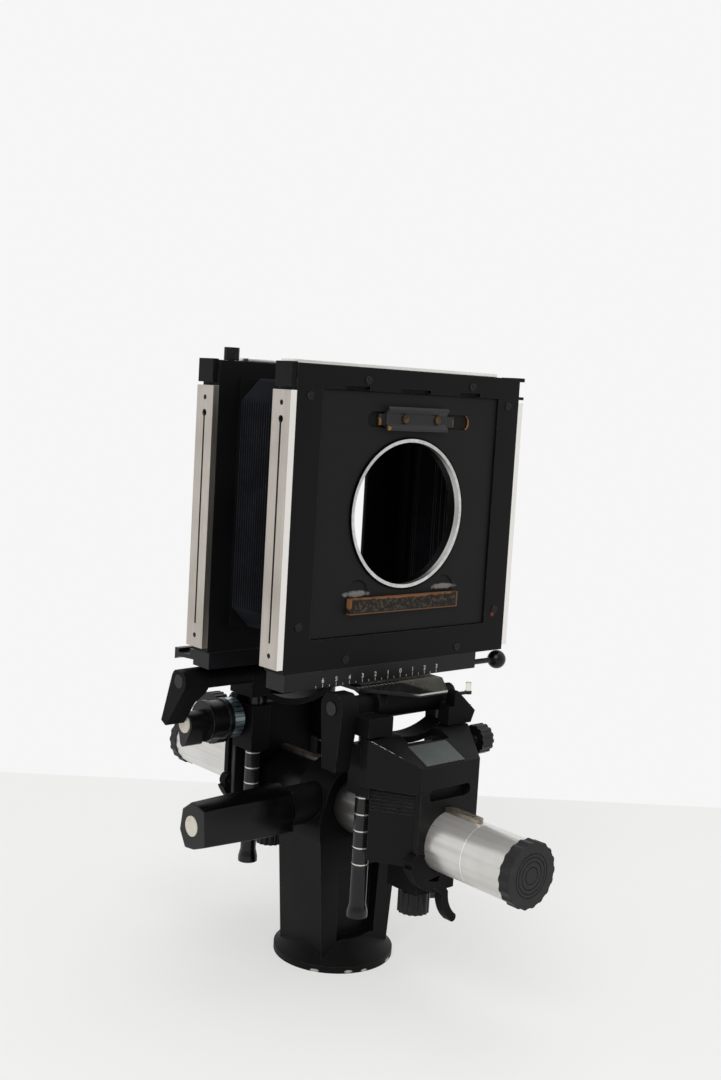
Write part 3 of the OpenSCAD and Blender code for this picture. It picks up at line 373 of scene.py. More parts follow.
def make_finishes():
    """All the materials, by the short names that the table of nodes uses."""
    colours = sizes("camera_colours")
    made = {
        # Stoved enamel on die-cast aluminium: deep black, low sheen, silver on the sharpest edges.
        "casting": enamel("Stoved black enamel on cast aluminium", colours.enamel, roughness=0.58,
                          wear=0.2, specular=0.09),
        # The front standard's enamel, rubbed to metal along the hood's left shoulder; the bare line
        # also stands for the shoulder's painted highlight.
        "hood": enamel("Stoved black enamel, rubbed shoulder", colours.enamel, roughness=0.5,
                       wear=0.2, specular=0.15, metal="#c9c8c4",
                       worn_and_highlit_edges=[((-38.2 + 2.2 * i, -69.4 - 4.9 * i, 155.4 - 2.4 * i),
                                    (2.6, 3.6, 2.6)) for i in range(6)]),
        # The same enamel on the foot, chipped along the rim that stands on tables.
        "foot": enamel("Stoved black enamel, chipped foot", colours.enamel, roughness=0.48,
                       wear=0.22, specular=0.11,
                       places=[((-31, -20, 0.8), (3, 3, 1.1)), ((-16, -34, 1.2), (3, 2, 0.9)),
                               ((-6, -37, 0.8), (2.4, 2, 0.9)), ((16, -34, 1), (3, 3, 1)),
                               ((27, -26, 1.4), (2, 2, 0.8)), ((34, -15, 1), (3, 3, 0.9)),
                               ((0, 37, 1), (6, 3, 1.2))]),
        # Spray-painted frame casting: smoother than the castings below, worn along its edges.
        "frame": enamel("Satin black paint on aluminium frame", colours.frames, roughness=0.5,
                        grain_mm=0.4, wear=0.26, edge_mm=0.4, specular=0.13),
        # Lens board: matt black with pale scuffs where lens panels were slid in.
        "board": enamel("Matt black paint on lens board", colours.board, roughness=0.55,
                        grain_mm=0.35, wear=0.2, edge_mm=0.3, specular=0.18,
                        place_paint="#7d7b78",
                        places=[(on_board(-36, -41, -46), (12, 3, 2.2)),
                                (on_board(33, -41, -45), (12, 3, 2.2))]),
        # Thin plates that hold the bellows, and the format mask: black paint with no wear.
        "plate": enamel("Matt black paint on bellows plate", "#0a0a0b", roughness=0.6, wear=0.0,
                        specular=0.12),
        # Black anodised extrusion: smooth, with silver corners.
        "bar": enamel("Black anodised aluminium bar", "#0f0f12", roughness=0.36, grain_mm=0.25,
                      relief_mm=0.004, wear=0.3, edge_mm=0.3, specular=0.25),
        # Turned and anodised knobs: a harder, slightly glossier black.
        "knob": enamel("Black anodised turned aluminium", "#0e0e10", roughness=0.3, grain_mm=0.3,
                       relief_mm=0.004, wear=0.5, edge_mm=0.25, specular=0.28),
        # Moulded handle: glossy black plastic with soft corners and dull patches from hands.
        "handle": moulded("Moulded black plastic grip", colours.plastic, roughness=0.17,
                          edge_mm=1.2, specular=0.24, dust="#222221"),
        # Rubbery cap: matt, with patches of grey dust.
        "cap": moulded("Moulded black rubber cap", "#1a1a1b", roughness=0.46, dust_amount=0.4,
                       specular=0.28),
        # Rail: satin polish with faint lines along it from sliding.
        "rail": bare_metal("Satin polished aluminium tube", colours.rail, roughness=0.3,
                           line_mm=(2.5, 120, 2.5), spread=0.06, relief_mm=0.0002,
                           tint="#cfccc6", metallic=0.72),
        # Milled rack: dull steel with brown patches of old grease.
        "rack": bare_metal("Milled steel rack with old grease", "#b9b4ac", roughness=0.38,
                           line_mm=(0.2, 0.6, 0.6), tint="#7f705c", cloud_scale=160.0),
        # Anodised strips: warm pale grey satin with draw lines up and down.
        "strip": bare_metal("Natural anodised aluminium strip", colours.strips, roughness=0.42,
                            line_mm=(0.4, 0.4, 50), tint="#b3aca3"),
        # Top strips of the frames: natural anodised aluminium, nearly white, drawn lengthwise.
        "trim": bare_metal("Bright anodised aluminium trim", "#f4f3f0", roughness=0.32,
                           line_mm=(50, 0.4, 0.4), tint="#dcdad6"),
        # Faced ring: bright and slightly cloudy, with fine turning lines.
        "ring": bare_metal("Turned bright aluminium ring", "#e6e6e4", roughness=0.34,
                           line_mm=(3, 0.15, 3), relief_mm=0.001, tint="#bcbcba",
                           cloud_scale=20.0),
        # Plain steel pins and bush: grey with dull patches.
        "steel": bare_metal("Plain turned steel", "#6f6d69", roughness=0.36,
                            line_mm=(0.4, 0.4, 0.4), tint="#45433f", cloud_scale=200.0),
        # Blackened screws: dark with worn heads.
        "screw": enamel("Blackened steel screw", "#171615", roughness=0.45, grain_mm=0.2,
                        wear=0.7, edge_mm=0.18, metal="#7b7058", specular=0.2),
        # Brass rivets: dark yellow with nearly black patches.
        "brass": bare_metal("Worn brass", "#7c6442", roughness=0.38, line_mm=(0.3, 0.3, 0.3),
                            tint="#2c2620", cloud_scale=260.0),
        # Latch: painted spring plate, rubbed down to brass at both finger ends.
        "latch": enamel("Black paint on brass latch", "#1d1d1e", metal="#8d6b3c", roughness=0.35,
                        wear=0.35, edge_mm=0.4,
                        places=[(on_board(-28, -42, 53), (3.4, 4, 3)),
                                (on_board(34, -42, 54), (1.6, 4, 4)),
                                (on_board(-22, -45, 50), (2, 2, 1.6))]),
        # Ledge: a brown strip whose varnish is scraped along the top edge.
        "ledge": enamel("Brown hard fibre ledge", "#1d1815", metal="#5e4a38", roughness=0.6,
                        grain_mm=0.7, relief_mm=0.06, wear=0.5, edge_mm=0.6, specular=0.2,
                        place_paint="#7a5233",
                        places=[(on_board(0, -43.4, -47.4), (62, 5, 2.4)),
                                (on_board(-43.4, -43, -51), (2, 4, 4))]),
        # Small plastic discs: yellowed white, slightly dirty.
        "disc": moulded("Ivory moulded plastic", "#cfc9bb", roughness=0.4, dust="#8e887c",
                        dust_amount=0.5),
        # Bare plate on the hood: grey-green etched metal, with nothing on it.
        "plate_blank": moulded("Etched grey nameplate, bare", "#3a403f", roughness=0.35,
                               dust="#566160", dust_amount=0.5, grain_mm=0.3, edge_mm=0.2),
        # Leather-faced shoe: brown, matt.
        "shoe": moulded("Brown leather facing", "#4a3626", roughness=0.7, dust="#6b543d",
                        dust_amount=0.5),
        # Graduated ring: blue-grey anodised aluminium.
        "graduated": bare_metal("Blue-grey anodised ring", "#d2e6ec", roughness=0.36,
                                line_mm=(0.15, 1, 1), tint="#a9bfc9"),
        # Columns: black chromed tube with silver-filled engraving.
        "column": enamel("Black chromed tube with engraved scale", "#0d0d0f", roughness=0.24,
                         grain_mm=0.4, relief_mm=0.003, wear=0.25, edge_mm=0.25,
                         specular=0.35),
        # Scale plates: black top with bright bevelled rims.
        "scale_plate": enamel("Black enamelled scale plate, bright rim", "#121213",
                              metal="#d4d2cc", roughness=0.3, grain_mm=0.3, wear=0.2,
                              edge_mm=0.3, specular=0.2),
        # White paint in the engraved figures.
        "figures": moulded("White paint in engraved figures", "#c9c7c1", roughness=0.6,
                           dust="#8f8d88", dust_amount=0.7, edge_mm=0.05),
        # Red index paint.
        "red": moulded("Red index paint", "#6b2318", roughness=0.5, dust="#3a1a14",
                       dust_amount=0.5),
        "cloth": bellows_cloth(),
        "acrylic": clear_acrylic(),
    }
    for short, detail in [("column", engrave_columns), ("strip", tell_strip_faces),
                          ("board", tell_board_faces), ("ledge", tell_ledge_faces),
                          ("ring", tell_ring_faces), ("rail", tell_rail_stretches),
                          ("graduated", divide_ring), ("scale_plate", graduate_plate)]:
        detail(made[short])
    return made


def engrave_columns(material):
    """Millimetre lines on the scale section of the columns, and a brighter one in each groove."""
    tree = material.node_tree
    height = coordinate(material, "Z")
    groove = 0.11845
    shifted = calc(tree, "SUBTRACT", height, groove + 0.00035)
    scale = between(tree, height, groove - 0.042, groove + 0.012)
    fine = calc(tree, "MULTIPLY", repeat(tree, shifted, 0.001, 0.00022), scale)
    overlay(material, calc(tree, "MULTIPLY", fine, 0.13), "#7c7c7a")
    bright = calc(tree, "MULTIPLY", repeat(tree, shifted, 0.010, 0.0009), scale)
    overlay(material, bright, "#d8d7d2", metallic=0.6)


def tell_strip_faces(material):
    """Side strips: the milled front edge is painted near white as a highlight, brighter than the
    drawn side, and the slot is painted black as its shade.
    """
    tree = material.node_tree
    along = coordinate(material, "Y")
    low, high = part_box("front_strips")
    # Painted highlight: the strips' front face is painted near white.
    overlay(material, calc(tree, "LESS_THAN", along, low.y + 0.0002), "#fbf8f3")
    # The front pair stands round the front frame's middle, and the rear pair round X = 0.
    shift = calc(tree, "MULTIPLY", calc(tree, "LESS_THAN", along, 0.0), FRONT_X)
    side = calc(tree, "ABSOLUTE", calc(tree, "SUBTRACT", coordinate(material, "X"), shift))
    slot = calc(tree, "LESS_THAN", side, high.x - FRONT_X - 0.0012)
    middle = -(low.y + high.y) / 2
    inside = between(tree, calc(tree, "ABSOLUTE", along), middle - 0.0030, middle + 0.0030)
    # Painted shade: the slot in the middle of the strips is painted near black.
    overlay(material, calc(tree, "MULTIPLY", slot, inside), RECESS)


def tell_board_faces(material):
    """Lens board: the recess round the latch is painted black as its shade, with bare brass at its
    right end.
    """
    tree = material.node_tree
    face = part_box("lens_board")[0].y
    across, along, height = (coordinate(material, axis) for axis in "XYZ")
    # Painted shade: the upper recess, 1 to 6 mm behind the board's face, is painted near black.
    above = calc(tree, "GREATER_THAN", height, BOARD_Z + 0.040)
    recess = between(tree, along, face + 0.0010, face + 0.0060)
    overlay(material, calc(tree, "MULTIPLY", recess, above), RECESS)
    wall = between(tree, along, face + 0.00005, face + 0.00118)
    wall = calc(tree, "MULTIPLY", wall, calc(tree, "LESS_THAN", across, FRONT_X + 0.048))
    right = calc(tree, "GREATER_THAN", across, FRONT_X + 0.0440)
    overlay(material, calc(tree, "MULTIPLY", wall, right), "#9a6a35")


def tell_ledge_faces(material):
    """Ledge: its face is pitted down to the pale fibre, inside a scraped rim."""
    tree = material.node_tree
    low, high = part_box("board_ledge")
    along, height = (coordinate(material, axis) for axis in "XZ")
    pale = soft_mask(tree, noise(tree, coordinate_vector(material), 620.0, 4.0), 0.46, 0.64)
    middle = calc(tree, "MULTIPLY", between(tree, along, low.x + 0.003, high.x - 0.002),
                  between(tree, height, low.z + 0.0012, high.z - 0.0016))
    overlay(material, calc(tree, "MULTIPLY", pale, middle), "#423e33")
    scraped = calc(tree, "MAXIMUM", calc(tree, "LESS_THAN", height, low.z + 0.0007),
                   calc(tree, "GREATER_THAN", along, high.x - 0.0012))
    overlay(material, scraped, "#6a4a30")


def tell_ring_faces(material):
    """Mount ring: bright in front, black deeper in and more than 44 mm from its axis."""
    tree = material.node_tree
    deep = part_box("mount_ring")[0].y + 0.0036
    overlay(material, calc(tree, "GREATER_THAN", coordinate(material, "Y"), deep), RECESS)
    out = add(tree, "VectorMath", {0: coordinate_vector(material), 1: (FRONT_X, 0, BOARD_Z)},
              operation="SUBTRACT").outputs[0]
    flat = add(tree, "VectorMath", {0: out, 1: (1, 0, 1)}, operation="MULTIPLY").outputs[0]
    overlay(material, calc(tree, "GREATER_THAN", length(tree, flat), 0.0440), RECESS)


def tell_rail_stretches(material):
    """Rail: a painted highlight as a white line at the screwed joint, and painted shade and
    reflection, dark, between the standards.
    """
    tree = material.node_tree
    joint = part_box("rail_tube")[0].y
    along = coordinate(material, "Y")
    # Painted highlight: a white line round the tube where the screwed-on piece meets it.
    overlay(material, between(tree, along, joint - 0.0003, joint + 0.0003), "#ffffff")
    # Painted shade: the tube between the standards is darkened for their shade and for the dark
    # undersides that it reflects.
    painted_shade_between_standards = calc(tree, "MULTIPLY", soft_mask(tree, along, -0.060, -0.008),
                  calc(tree, "LESS_THAN", along, 0.075))
    overlay(material, painted_shade_between_standards, "#1d1d20")


def divide_ring(material):
    """Dark division lines round the focusing ring, each 15 degrees."""
    tree = material.node_tree
    low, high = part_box("focus_ring")
    centre = (low + high) / 2
    up = calc(tree, "SUBTRACT", coordinate(material, "Z"), centre.z)
    out = calc(tree, "SUBTRACT", coordinate(material, "Y"), centre.y)
    turn = calc(tree, "ARCTAN2", up, out)
    lines = repeat(tree, turn, math.radians(15), math.radians(2.4))
    overlay(material, lines, "#16181b")


def graduate_plate(material):
    """Swing scales: a bare rim, a painted sheen, speckled, standing for a reflection on the top's
    right half, and degree marks.
    """
    tree = material.node_tree
    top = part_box("front_scale_plate")[1].z
    across, along, height = (coordinate(material, axis) for axis in "XYZ")
    rim = calc(tree, "MULTIPLY", between(tree, height, top - 0.0011, top - 0.00005),
               soft_mask(tree, across, -0.012, -0.006))
    overlay(material, rim, "#bdbbb6", metallic=0.8)
    # Painted reflection: a paler speckled colour on the right half of the top.
    speckle = soft_mask(tree, noise(tree, coordinate_vector(material), 1100.0, 2.0), 0.42, 0.62)
    bright = calc(tree, "MULTIPLY", speckle, soft_mask(tree, across, 0.001, 0.006))
    upper = calc(tree, "GREATER_THAN", height, top - 0.00005)
    overlay(material, calc(tree, "MULTIPLY", bright, upper), "#77766a")
    band = between(tree, calc(tree, "ABSOLUTE", along), 0.0425, 0.0455)
    overlay(material, calc(tree, "MULTIPLY", repeat(tree, across, 0.003, 0.0004), band), "#c4c2bb")


def bellows_cloth():
    """Rubber-coated cotton: bluish black, fine weave under it, greyer where the folds rub."""
    material, tree, shader, coords = fresh("Rubber-coated bellows cloth")
    # Threads of 0.35 mm, a little coarser than real so that they show.
    threads = [add(tree, "TexWave", {"Vector": coords, "Scale": 1 / (0.35 * MM) / 20,
                                     "Distortion": 0.6, "Detail": 2.0},
                   bands_direction=axis).outputs["Fac"] for axis in "XZ"]
    edge = edge_mark(tree, rounded_normal(tree, 0.0006))
    rub = calc(tree, "MULTIPLY", soft_mask(tree, edge, 0.08, 0.4), noise(tree, coords, 60.0, 5.0))
    relief = add(tree, "Bump", {"Strength": 0.5, "Distance": 0.00004,
                                "Height": calc(tree, "ADD", *threads)})
    feed(tree, shader, {"Base Color": mix(tree, rub, sizes("camera_colours").cloth, "#565b66"),
                        "Roughness": 0.62, "Specular IOR Level": 0.2, "Normal": relief.outputs[0]})
    return material


def clear_acrylic():
    """Clear acrylic vial: pale yellow-green, see-through, with tiny scratches."""
    material, tree, shader, coords = fresh("Clear acrylic spirit level")
    haze = noise(tree, coords, 900.0, 3.0)
    feed(tree, shader, {"Base Color": mix(tree, haze, "#f1f3ea", "#dfe4d2"),
                        "Roughness": span(tree, haze, 0.0, 1.0, 0.02, 0.14),
                        "Transmission Weight": 1.0, "IOR": 1.49})
    return material


NODE_FINISHES = {
    "hood": ["front_base"],
    "casting": ["front_jaw", "front_cradle", "front_tilt_head", "front_tilt_lever",
                "front_cam_lever", "rear_base", "rear_jaw", "rear_cradle", "rear_tilt_head",
                "rear_tilt_lever", "rear_cam_lever"],
    "foot": ["pedestal"],
    "frame": ["front_frame", "rear_frame"],
    "plate": ["bellows_front_plate", "bellows_rear_plate"],
    "board": ["lens_board"],
    "bar": ["front_bar", "rear_bar"],
    "knob": ["front_lock_knob", "rear_lock_knob", "front_rise_knob", "rear_rise_knob", "focus_knob",
             "focus_lever", "shift_lock", "frame_release", "front_tilt_pin", "rear_tilt_pin"],
    "handle": ["clamp_handle"],
    "cap": ["rail_front_cap", "rail_rear_cap"],
    "rail": ["rail_tube", "rail_front_piece", "rail_rear_piece"],
    "rack": ["rail_rack"],
    "strip": ["front_strips", "rear_strips"],
    "ring": ["mount_ring"],
    "steel": ["tripod_bush", "front_swing_plate", "rear_swing_plate"],
    "screw": ["frame_screws", "front_strip_screws", "rear_strip_screws"],
    "brass": ["latch_rivets"],
    "latch": ["board_latch"],
    "ledge": ["board_ledge"],
    "disc": ["handle_disc", "focus_lever_disc"],
    "plate_blank": ["nameplate"],
    "shoe": ["brake_shoe"],
    "graduated": ["focus_ring"],
    "column": ["front_columns", "rear_columns"],
    "scale_plate": ["front_scale_plate", "rear_scale_plate"],
    "cloth": ["bellows"],
}
FINISHES = {}


def finish(short):
    """A finish by its short name, made when it is first asked for."""
    if not FINISHES:
        FINISHES.update(make_finishes())
    return FINISHES[short]


def start(primitive, name, **settings):
    """Adds a primitive with nothing else selected, and names it."""
    bpy.ops.object.select_all(action="DESELECT")
    getattr(bpy.ops.mesh, "primitive_" + primitive + "_add")(**settings)
    piece = bpy.context.active_object
    piece.name = name
    piece.data.name = name
    return piece


def hold(*pieces):
    """Selects these pieces alone, the last one active."""
    bpy.ops.object.select_all(action="DESELECT")
    for piece in pieces:
        piece.select_set(True)
    bpy.context.view_layer.objects.active = pieces[-1]


def pick(piece, test):
    """In edit mode, selects only the faces whose middle passes the test."""
    mesh = bmesh.from_edit_mesh(piece.data)
    for element in [*mesh.verts, *mesh.edges, *mesh.faces]:
        element.select = False
    mesh.select_mode = {"FACE"}
    for face in mesh.faces:
        if test(sum((v.co for v in face.verts), Vector()) / len(face.verts)):
            face.select_set(True)
    mesh.select_flush_mode()
    bmesh.update_edit_mesh(piece.data)


def edit():
    """Goes into edit mode with everything selected."""
    bpy.ops.object.mode_set(mode="EDIT")
    bpy.ops.mesh.select_all(action="SELECT")


def face_outwards():
    """In edit mode, turns every face outwards, and goes back to object mode."""
    bpy.ops.mesh.select_all(action="SELECT")
    bpy.ops.mesh.normals_make_consistent(inside=False)
    bpy.ops.object.mode_set(mode="OBJECT")


def settle(piece):
    """Puts a piece's place into its mesh, and leaves its object at the origin."""
    hold(piece)
    bpy.ops.object.transform_apply(location=True, rotation=True, scale=True)


def sized(primitive, name, scale, **settings):
    """Adds a primitive with sides of 1, scales it to its sizes and settles it."""
    piece = start(primitive, name, size=1, **settings)
    piece.scale = scale
    settle(piece)
    return piece


def apply_modifier(piece, kind, **settings):
    """Adds a modifier with its settings and applies it."""
    hold(piece)
    modifier = piece.modifiers.new(kind.title(), kind)
    for name, value in settings.items():
        setattr(modifier, name, value)
    bpy.ops.object.modifier_apply(modifier=modifier.name)


def bevel(piece, width, segments=2, angle=30):
    """Rounds the edges of a piece that turn by more than an angle in degrees."""
    apply_modifier(piece, "BEVEL", width=width, segments=segments, limit_method="ANGLE",
                   angle_limit=math.radians(angle))


def join(name, pieces):
    """Joins pieces into one and names it."""
    hold(*pieces)
    bpy.ops.object.join()
    whole = bpy.context.active_object
    whole.name = name
    whole.data.name = name
    return whole


def coat(piece, short, angle=30):
    """Gives a piece its finish and smooth shading up to an angle."""
    piece.data.materials.clear()
    piece.data.materials.append(finish(short))
    hold(piece)
    bpy.ops.object.shade_smooth_by_angle(angle=math.radians(angle))


class VIEWCAM_OT_finishes(bpy.types.Operator):
    """Gives every carried-over solid its finish and smooth curved faces"""
    bl_idname = "viewcam.finishes"
    bl_label = "Finishes of the solids"

    def execute(self, context):
        given = {node: short for short, nodes in NODE_FINISHES.items() for node in nodes}
        missing = sorted(set(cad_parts) - set(given))
        if missing:
            raise RuntimeError(f"no finish for {missing}")
        for node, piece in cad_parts.items():
            piece.data.materials.clear()
            piece.data.materials.append(finish(given[node]))
            for face in piece.data.polygons:
                face.use_smooth = True
            piece.modifiers.new("Weld", "WELD").merge_threshold = 1e-6
            piece.modifiers.new("Corners", "EDGE_SPLIT").split_angle = math.radians(28)
        return {"FINISHED"}


class VIEWCAM_OT_bellows(bpy.types.Operator):
    """Folds the bellows, one stretch for each joint that it passes"""
    bl_idname = "viewcam.bellows"
    bl_label = "Pleated bellows"

    def fold(self, name, y, x, steps, step_y, step_x):
        """One stretch: an eight-sided loop, extruded and sized in and out again for each fold."""
        size = sizes("camera_bellows")
        inner = (size.width - 2 * size.depth, size.height - 2 * size.depth)
        piece = sized("plane", name, (*inner, 1), location=(x, y, BOARD_Z),
                      rotation=UPRIGHT)
        edit()
        bpy.ops.mesh.bevel(offset=size.corner, affect="VERTICES")
        bpy.ops.mesh.select_all(action="SELECT")
        bpy.ops.mesh.delete(type="ONLY_FACE")
        bpy.ops.mesh.select_all(action="SELECT")
        out_x, out_z = size.width / inner[0], size.height / inner[1]
        for step in range(steps):
            bpy.ops.mesh.extrude_region_move(TRANSFORM_OT_translate={"value": (step_x, step_y, 0)})
            centre = (x + (step + 1) * step_x, y + (step + 1) * step_y, BOARD_Z)
            value = (1 / out_x, 1, 1 / out_z) if step % 2 else (out_x, 1, out_z)
            bpy.ops.transform.resize(value=value, center_override=centre)
        face_outwards()
        middle = Vector((x, 0, BOARD_Z))
        if sum(f.normal.dot(f.center - middle) for f in piece.data.polygons) < 0:
            piece.data.flip_normals()
        apply_modifier(piece, "SOLIDIFY", thickness=size.wall, offset=-1.0)
        bevel(piece, 0.00016, 1, 40)
        coat(piece, "cloth")
        return piece

    def execute(self, context):
        low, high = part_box("bellows")
        steps = 2 * sum(PLEATS_PER_JOINT)
        step_y = -(high.y - low.y) / steps
        step_x = FRONT_X / steps
        y, x = high.y, 0.0
        for number, pleats in enumerate(PLEATS_PER_JOINT):
            piece = self.fold(f"bellows_{number + 1:02d}", y, x, 2 * pleats, step_y, step_x)
            end = y + 2 * pleats * step_y
            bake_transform(piece)
            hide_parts("bellows")
            y, x = end, x + 2 * pleats * step_x
        return {"FINISHED"}


class VIEWCAM_OT_bar_scale(bpy.types.Operator):
    """Centimetre numbers and marks along the front bar's lower edge"""
    bl_idname = "viewcam.bar_scale"
    bl_label = "Scale on the front bar"

    def execute(self, context):
        size = sizes("camera_scale")
        low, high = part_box("front_bar")
        face = low.y
        marks = []
        for half in range(-2 * size.left - 1, 2 * size.right + 1):
            x = size.zero + half * size.pitch / 2
            tall = 0.0021 if half % 2 == 0 else 0.0012
            mark = sized("plane", "mark", (0.00034, tall, 1), rotation=UPRIGHT,
                         location=(x, face - 0.00001, low.z + 0.0004 + tall / 2))
            edit()
            bpy.ops.mesh.extrude_region_move(TRANSFORM_OT_translate={"value": (0, -0.00004, 0)})
            face_outwards()
            marks.append(mark)
        for number in range(-size.left, size.right + 1):
            bpy.ops.object.select_all(action="DESELECT")
            bpy.ops.object.text_add(location=(0, 0, 0))
            text = bpy.context.active_object
            text.data.body = str(abs(number))
            text.data.size = size.digit
            text.data.align_x = "CENTER"
            text.data.extrude = 0.00003
            text.data.offset = 0.00006
            bpy.ops.object.convert(target="MESH")
            digit = bpy.context.active_object
            digit.location = (size.zero + number * size.pitch, face - 0.00003, low.z + 0.0031)
            digit.rotation_euler = UPRIGHT
            settle(digit)
            marks.append(digit)
        scale = join("bar_scale", marks)
        coat(scale, "figures")
        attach(scale, "front_shift")
        return {"FINISHED"}


class VIEWCAM_OT_index_dot(bpy.types.Operator):
    """Small red index dot on the front frame's edge"""
    bl_idname = "viewcam.index_dot"
    bl_label = "Index dot"

    def execute(self, context):
        low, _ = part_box("front_frame")
        place = Vector((0.0805, low.y - 0.00002, 0.2165))
        dot = start("cylinder", "index_dot", vertices=24, radius=0.0015, depth=0.0003,
                    location=place, rotation=UPRIGHT)
        settle(dot)
        edit()
        pick(dot, lambda p: p.y < place.y - 0.0001)
        bpy.ops.mesh.inset(thickness=0.0003)
        bpy.ops.transform.translate(value=(0, -0.0001, 0))
        bpy.ops.object.mode_set(mode="OBJECT")
        coat(dot, "red")
        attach(dot, "front_shift")
        return {"FINISHED"}


class VIEWCAM_OT_trims(bpy.types.Operator):
    """Bright channel strips along the tops of both frames"""
    bl_idname = "viewcam.trims"
    bl_label = "Top strips"

    def strip(self, name, node, left, right, body):
        """A flat bar with a shallow channel along its top and bevelled edges."""
        low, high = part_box(node)
        top = high.z - 0.0006
        thick = 0.0022
        middle = ((left + right) / 2, (low.y + high.y) / 2, top + thick / 2 - 0.0001)
        bar = sized("cube", name, (right - left, high.y - low.y - 0.0012, thick), location=middle)
        edit()
        pick(bar, lambda p: p.z > top + thick - 0.0003)
        bpy.ops.mesh.inset(thickness=0.0022)
        bpy.ops.transform.translate(value=(0, 0, -0.0008))
        bpy.ops.object.mode_set(mode="OBJECT")
        bevel(bar, 0.0003)
        coat(bar, "trim")
        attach(bar, body)

    def execute(self, context):
        self.strip("front_top_strip", "front_frame", FRONT_X - 0.0885, FRONT_X + 0.068,
                   "front_shift")
        self.strip("rear_top_strip", "rear_frame", -0.0680, 0.0630, "rear_shift")
        return {"FINISHED"}


class VIEWCAM_OT_format_mask(bpy.types.Operator):
    """Black mask in the rear frame's seat, with an upright opening"""
    bl_idname = "viewcam.format_mask"
    bl_label = "Format mask"

    def execute(self, context):
        size = sizes("camera_mask")
        seat = 0.0371
        thick = 0.0034
        place = Vector((0, seat + thick / 2, BOARD_Z))
        mask = sized("cube", "format_mask", (size.outer, thick, size.outer), location=place)
        edit()
        pick(mask, lambda p: abs(p.y - place.y) > thick / 2 - 1e-5)
        bpy.ops.mesh.inset(thickness=(size.outer - size.height) / 2)
        bpy.ops.transform.resize(value=(size.width / size.height, 1, 1), center_override=place)
        bpy.ops.mesh.delete(type="ONLY_FACE")
        bpy.ops.mesh.select_mode(type="EDGE")
        bpy.ops.mesh.select_non_manifold()
        bpy.ops.mesh.bridge_edge_loops()
        face_outwards()
        bevel(mask, 0.0007)
        coat(mask, "plate")
        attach(mask, "rear_shift")
        return {"FINISHED"}


class VIEWCAM_OT_level(bpy.types.Operator):
    """Small clear level on a cup and arm at the end of the front tilt pin"""
    bl_idname = "viewcam.level"
    bl_label = "Spirit level"

    def execute(self, context):
        _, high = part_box("front_tilt_pin")
        centre = Vector((0.0555, -0.0500, 0.1735))
        vial = start("cylinder", "level_vial", vertices=32, radius=0.0017, depth=0.0062,
                     location=centre)
        settle(vial)
        edit()
        pick(vial, lambda p: abs(p.z - centre.z) > 0.0030)
        bpy.ops.mesh.inset(thickness=0.0006)
        bpy.ops.mesh.inset(thickness=0.0003)
        bpy.ops.transform.resize(value=(1, 1, 0.9), center_override=centre)
        bpy.ops.object.mode_set(mode="OBJECT")
        bevel(vial, 0.0003, 3, 50)
        coat(vial, "acrylic")
        foot = centre.z - 0.0031
        cup = start("cylinder", "level_arm", vertices=32, radius=0.0023, depth=0.0018,
                    location=(centre.x, centre.y, foot - 0.0002))
        settle(cup)
        edit()
        pick(cup, lambda p: p.z > foot + 0.0006)
        bpy.ops.mesh.inset(thickness=0.0005)
        bpy.ops.transform.translate(value=(0, 0, -0.0006))
        # The arm: the cup's side faces towards the pin, drawn out until they end inside it.
        pick(cup, lambda p: p.x < centre.x - 0.0020 and abs(p.y - centre.y) < 0.0009)
        reach = high.x - 0.0008 - centre.x + 0.0022
        bpy.ops.mesh.extrude_region_move(TRANSFORM_OT_translate={"value": (reach, 0.0008, 0)})
        bpy.ops.object.mode_set(mode="OBJECT")
        bevel(cup, 0.0002, 2, 50)
        coat(cup, "knob")
        for piece in (vial, cup):
            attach(piece, "front_rise")
        return {"FINISHED"}


def seen(tree):
    """1 for rays that end in the picture: from the camera, in a gloss or through glass."""
    rays = add(tree, "LightPath").outputs
    direct = calc(tree, "MAXIMUM", rays["Is Camera Ray"], rays["Is Glossy Ray"])
    return calc(tree, "MAXIMUM", direct, rays["Is Transmission Ray"])


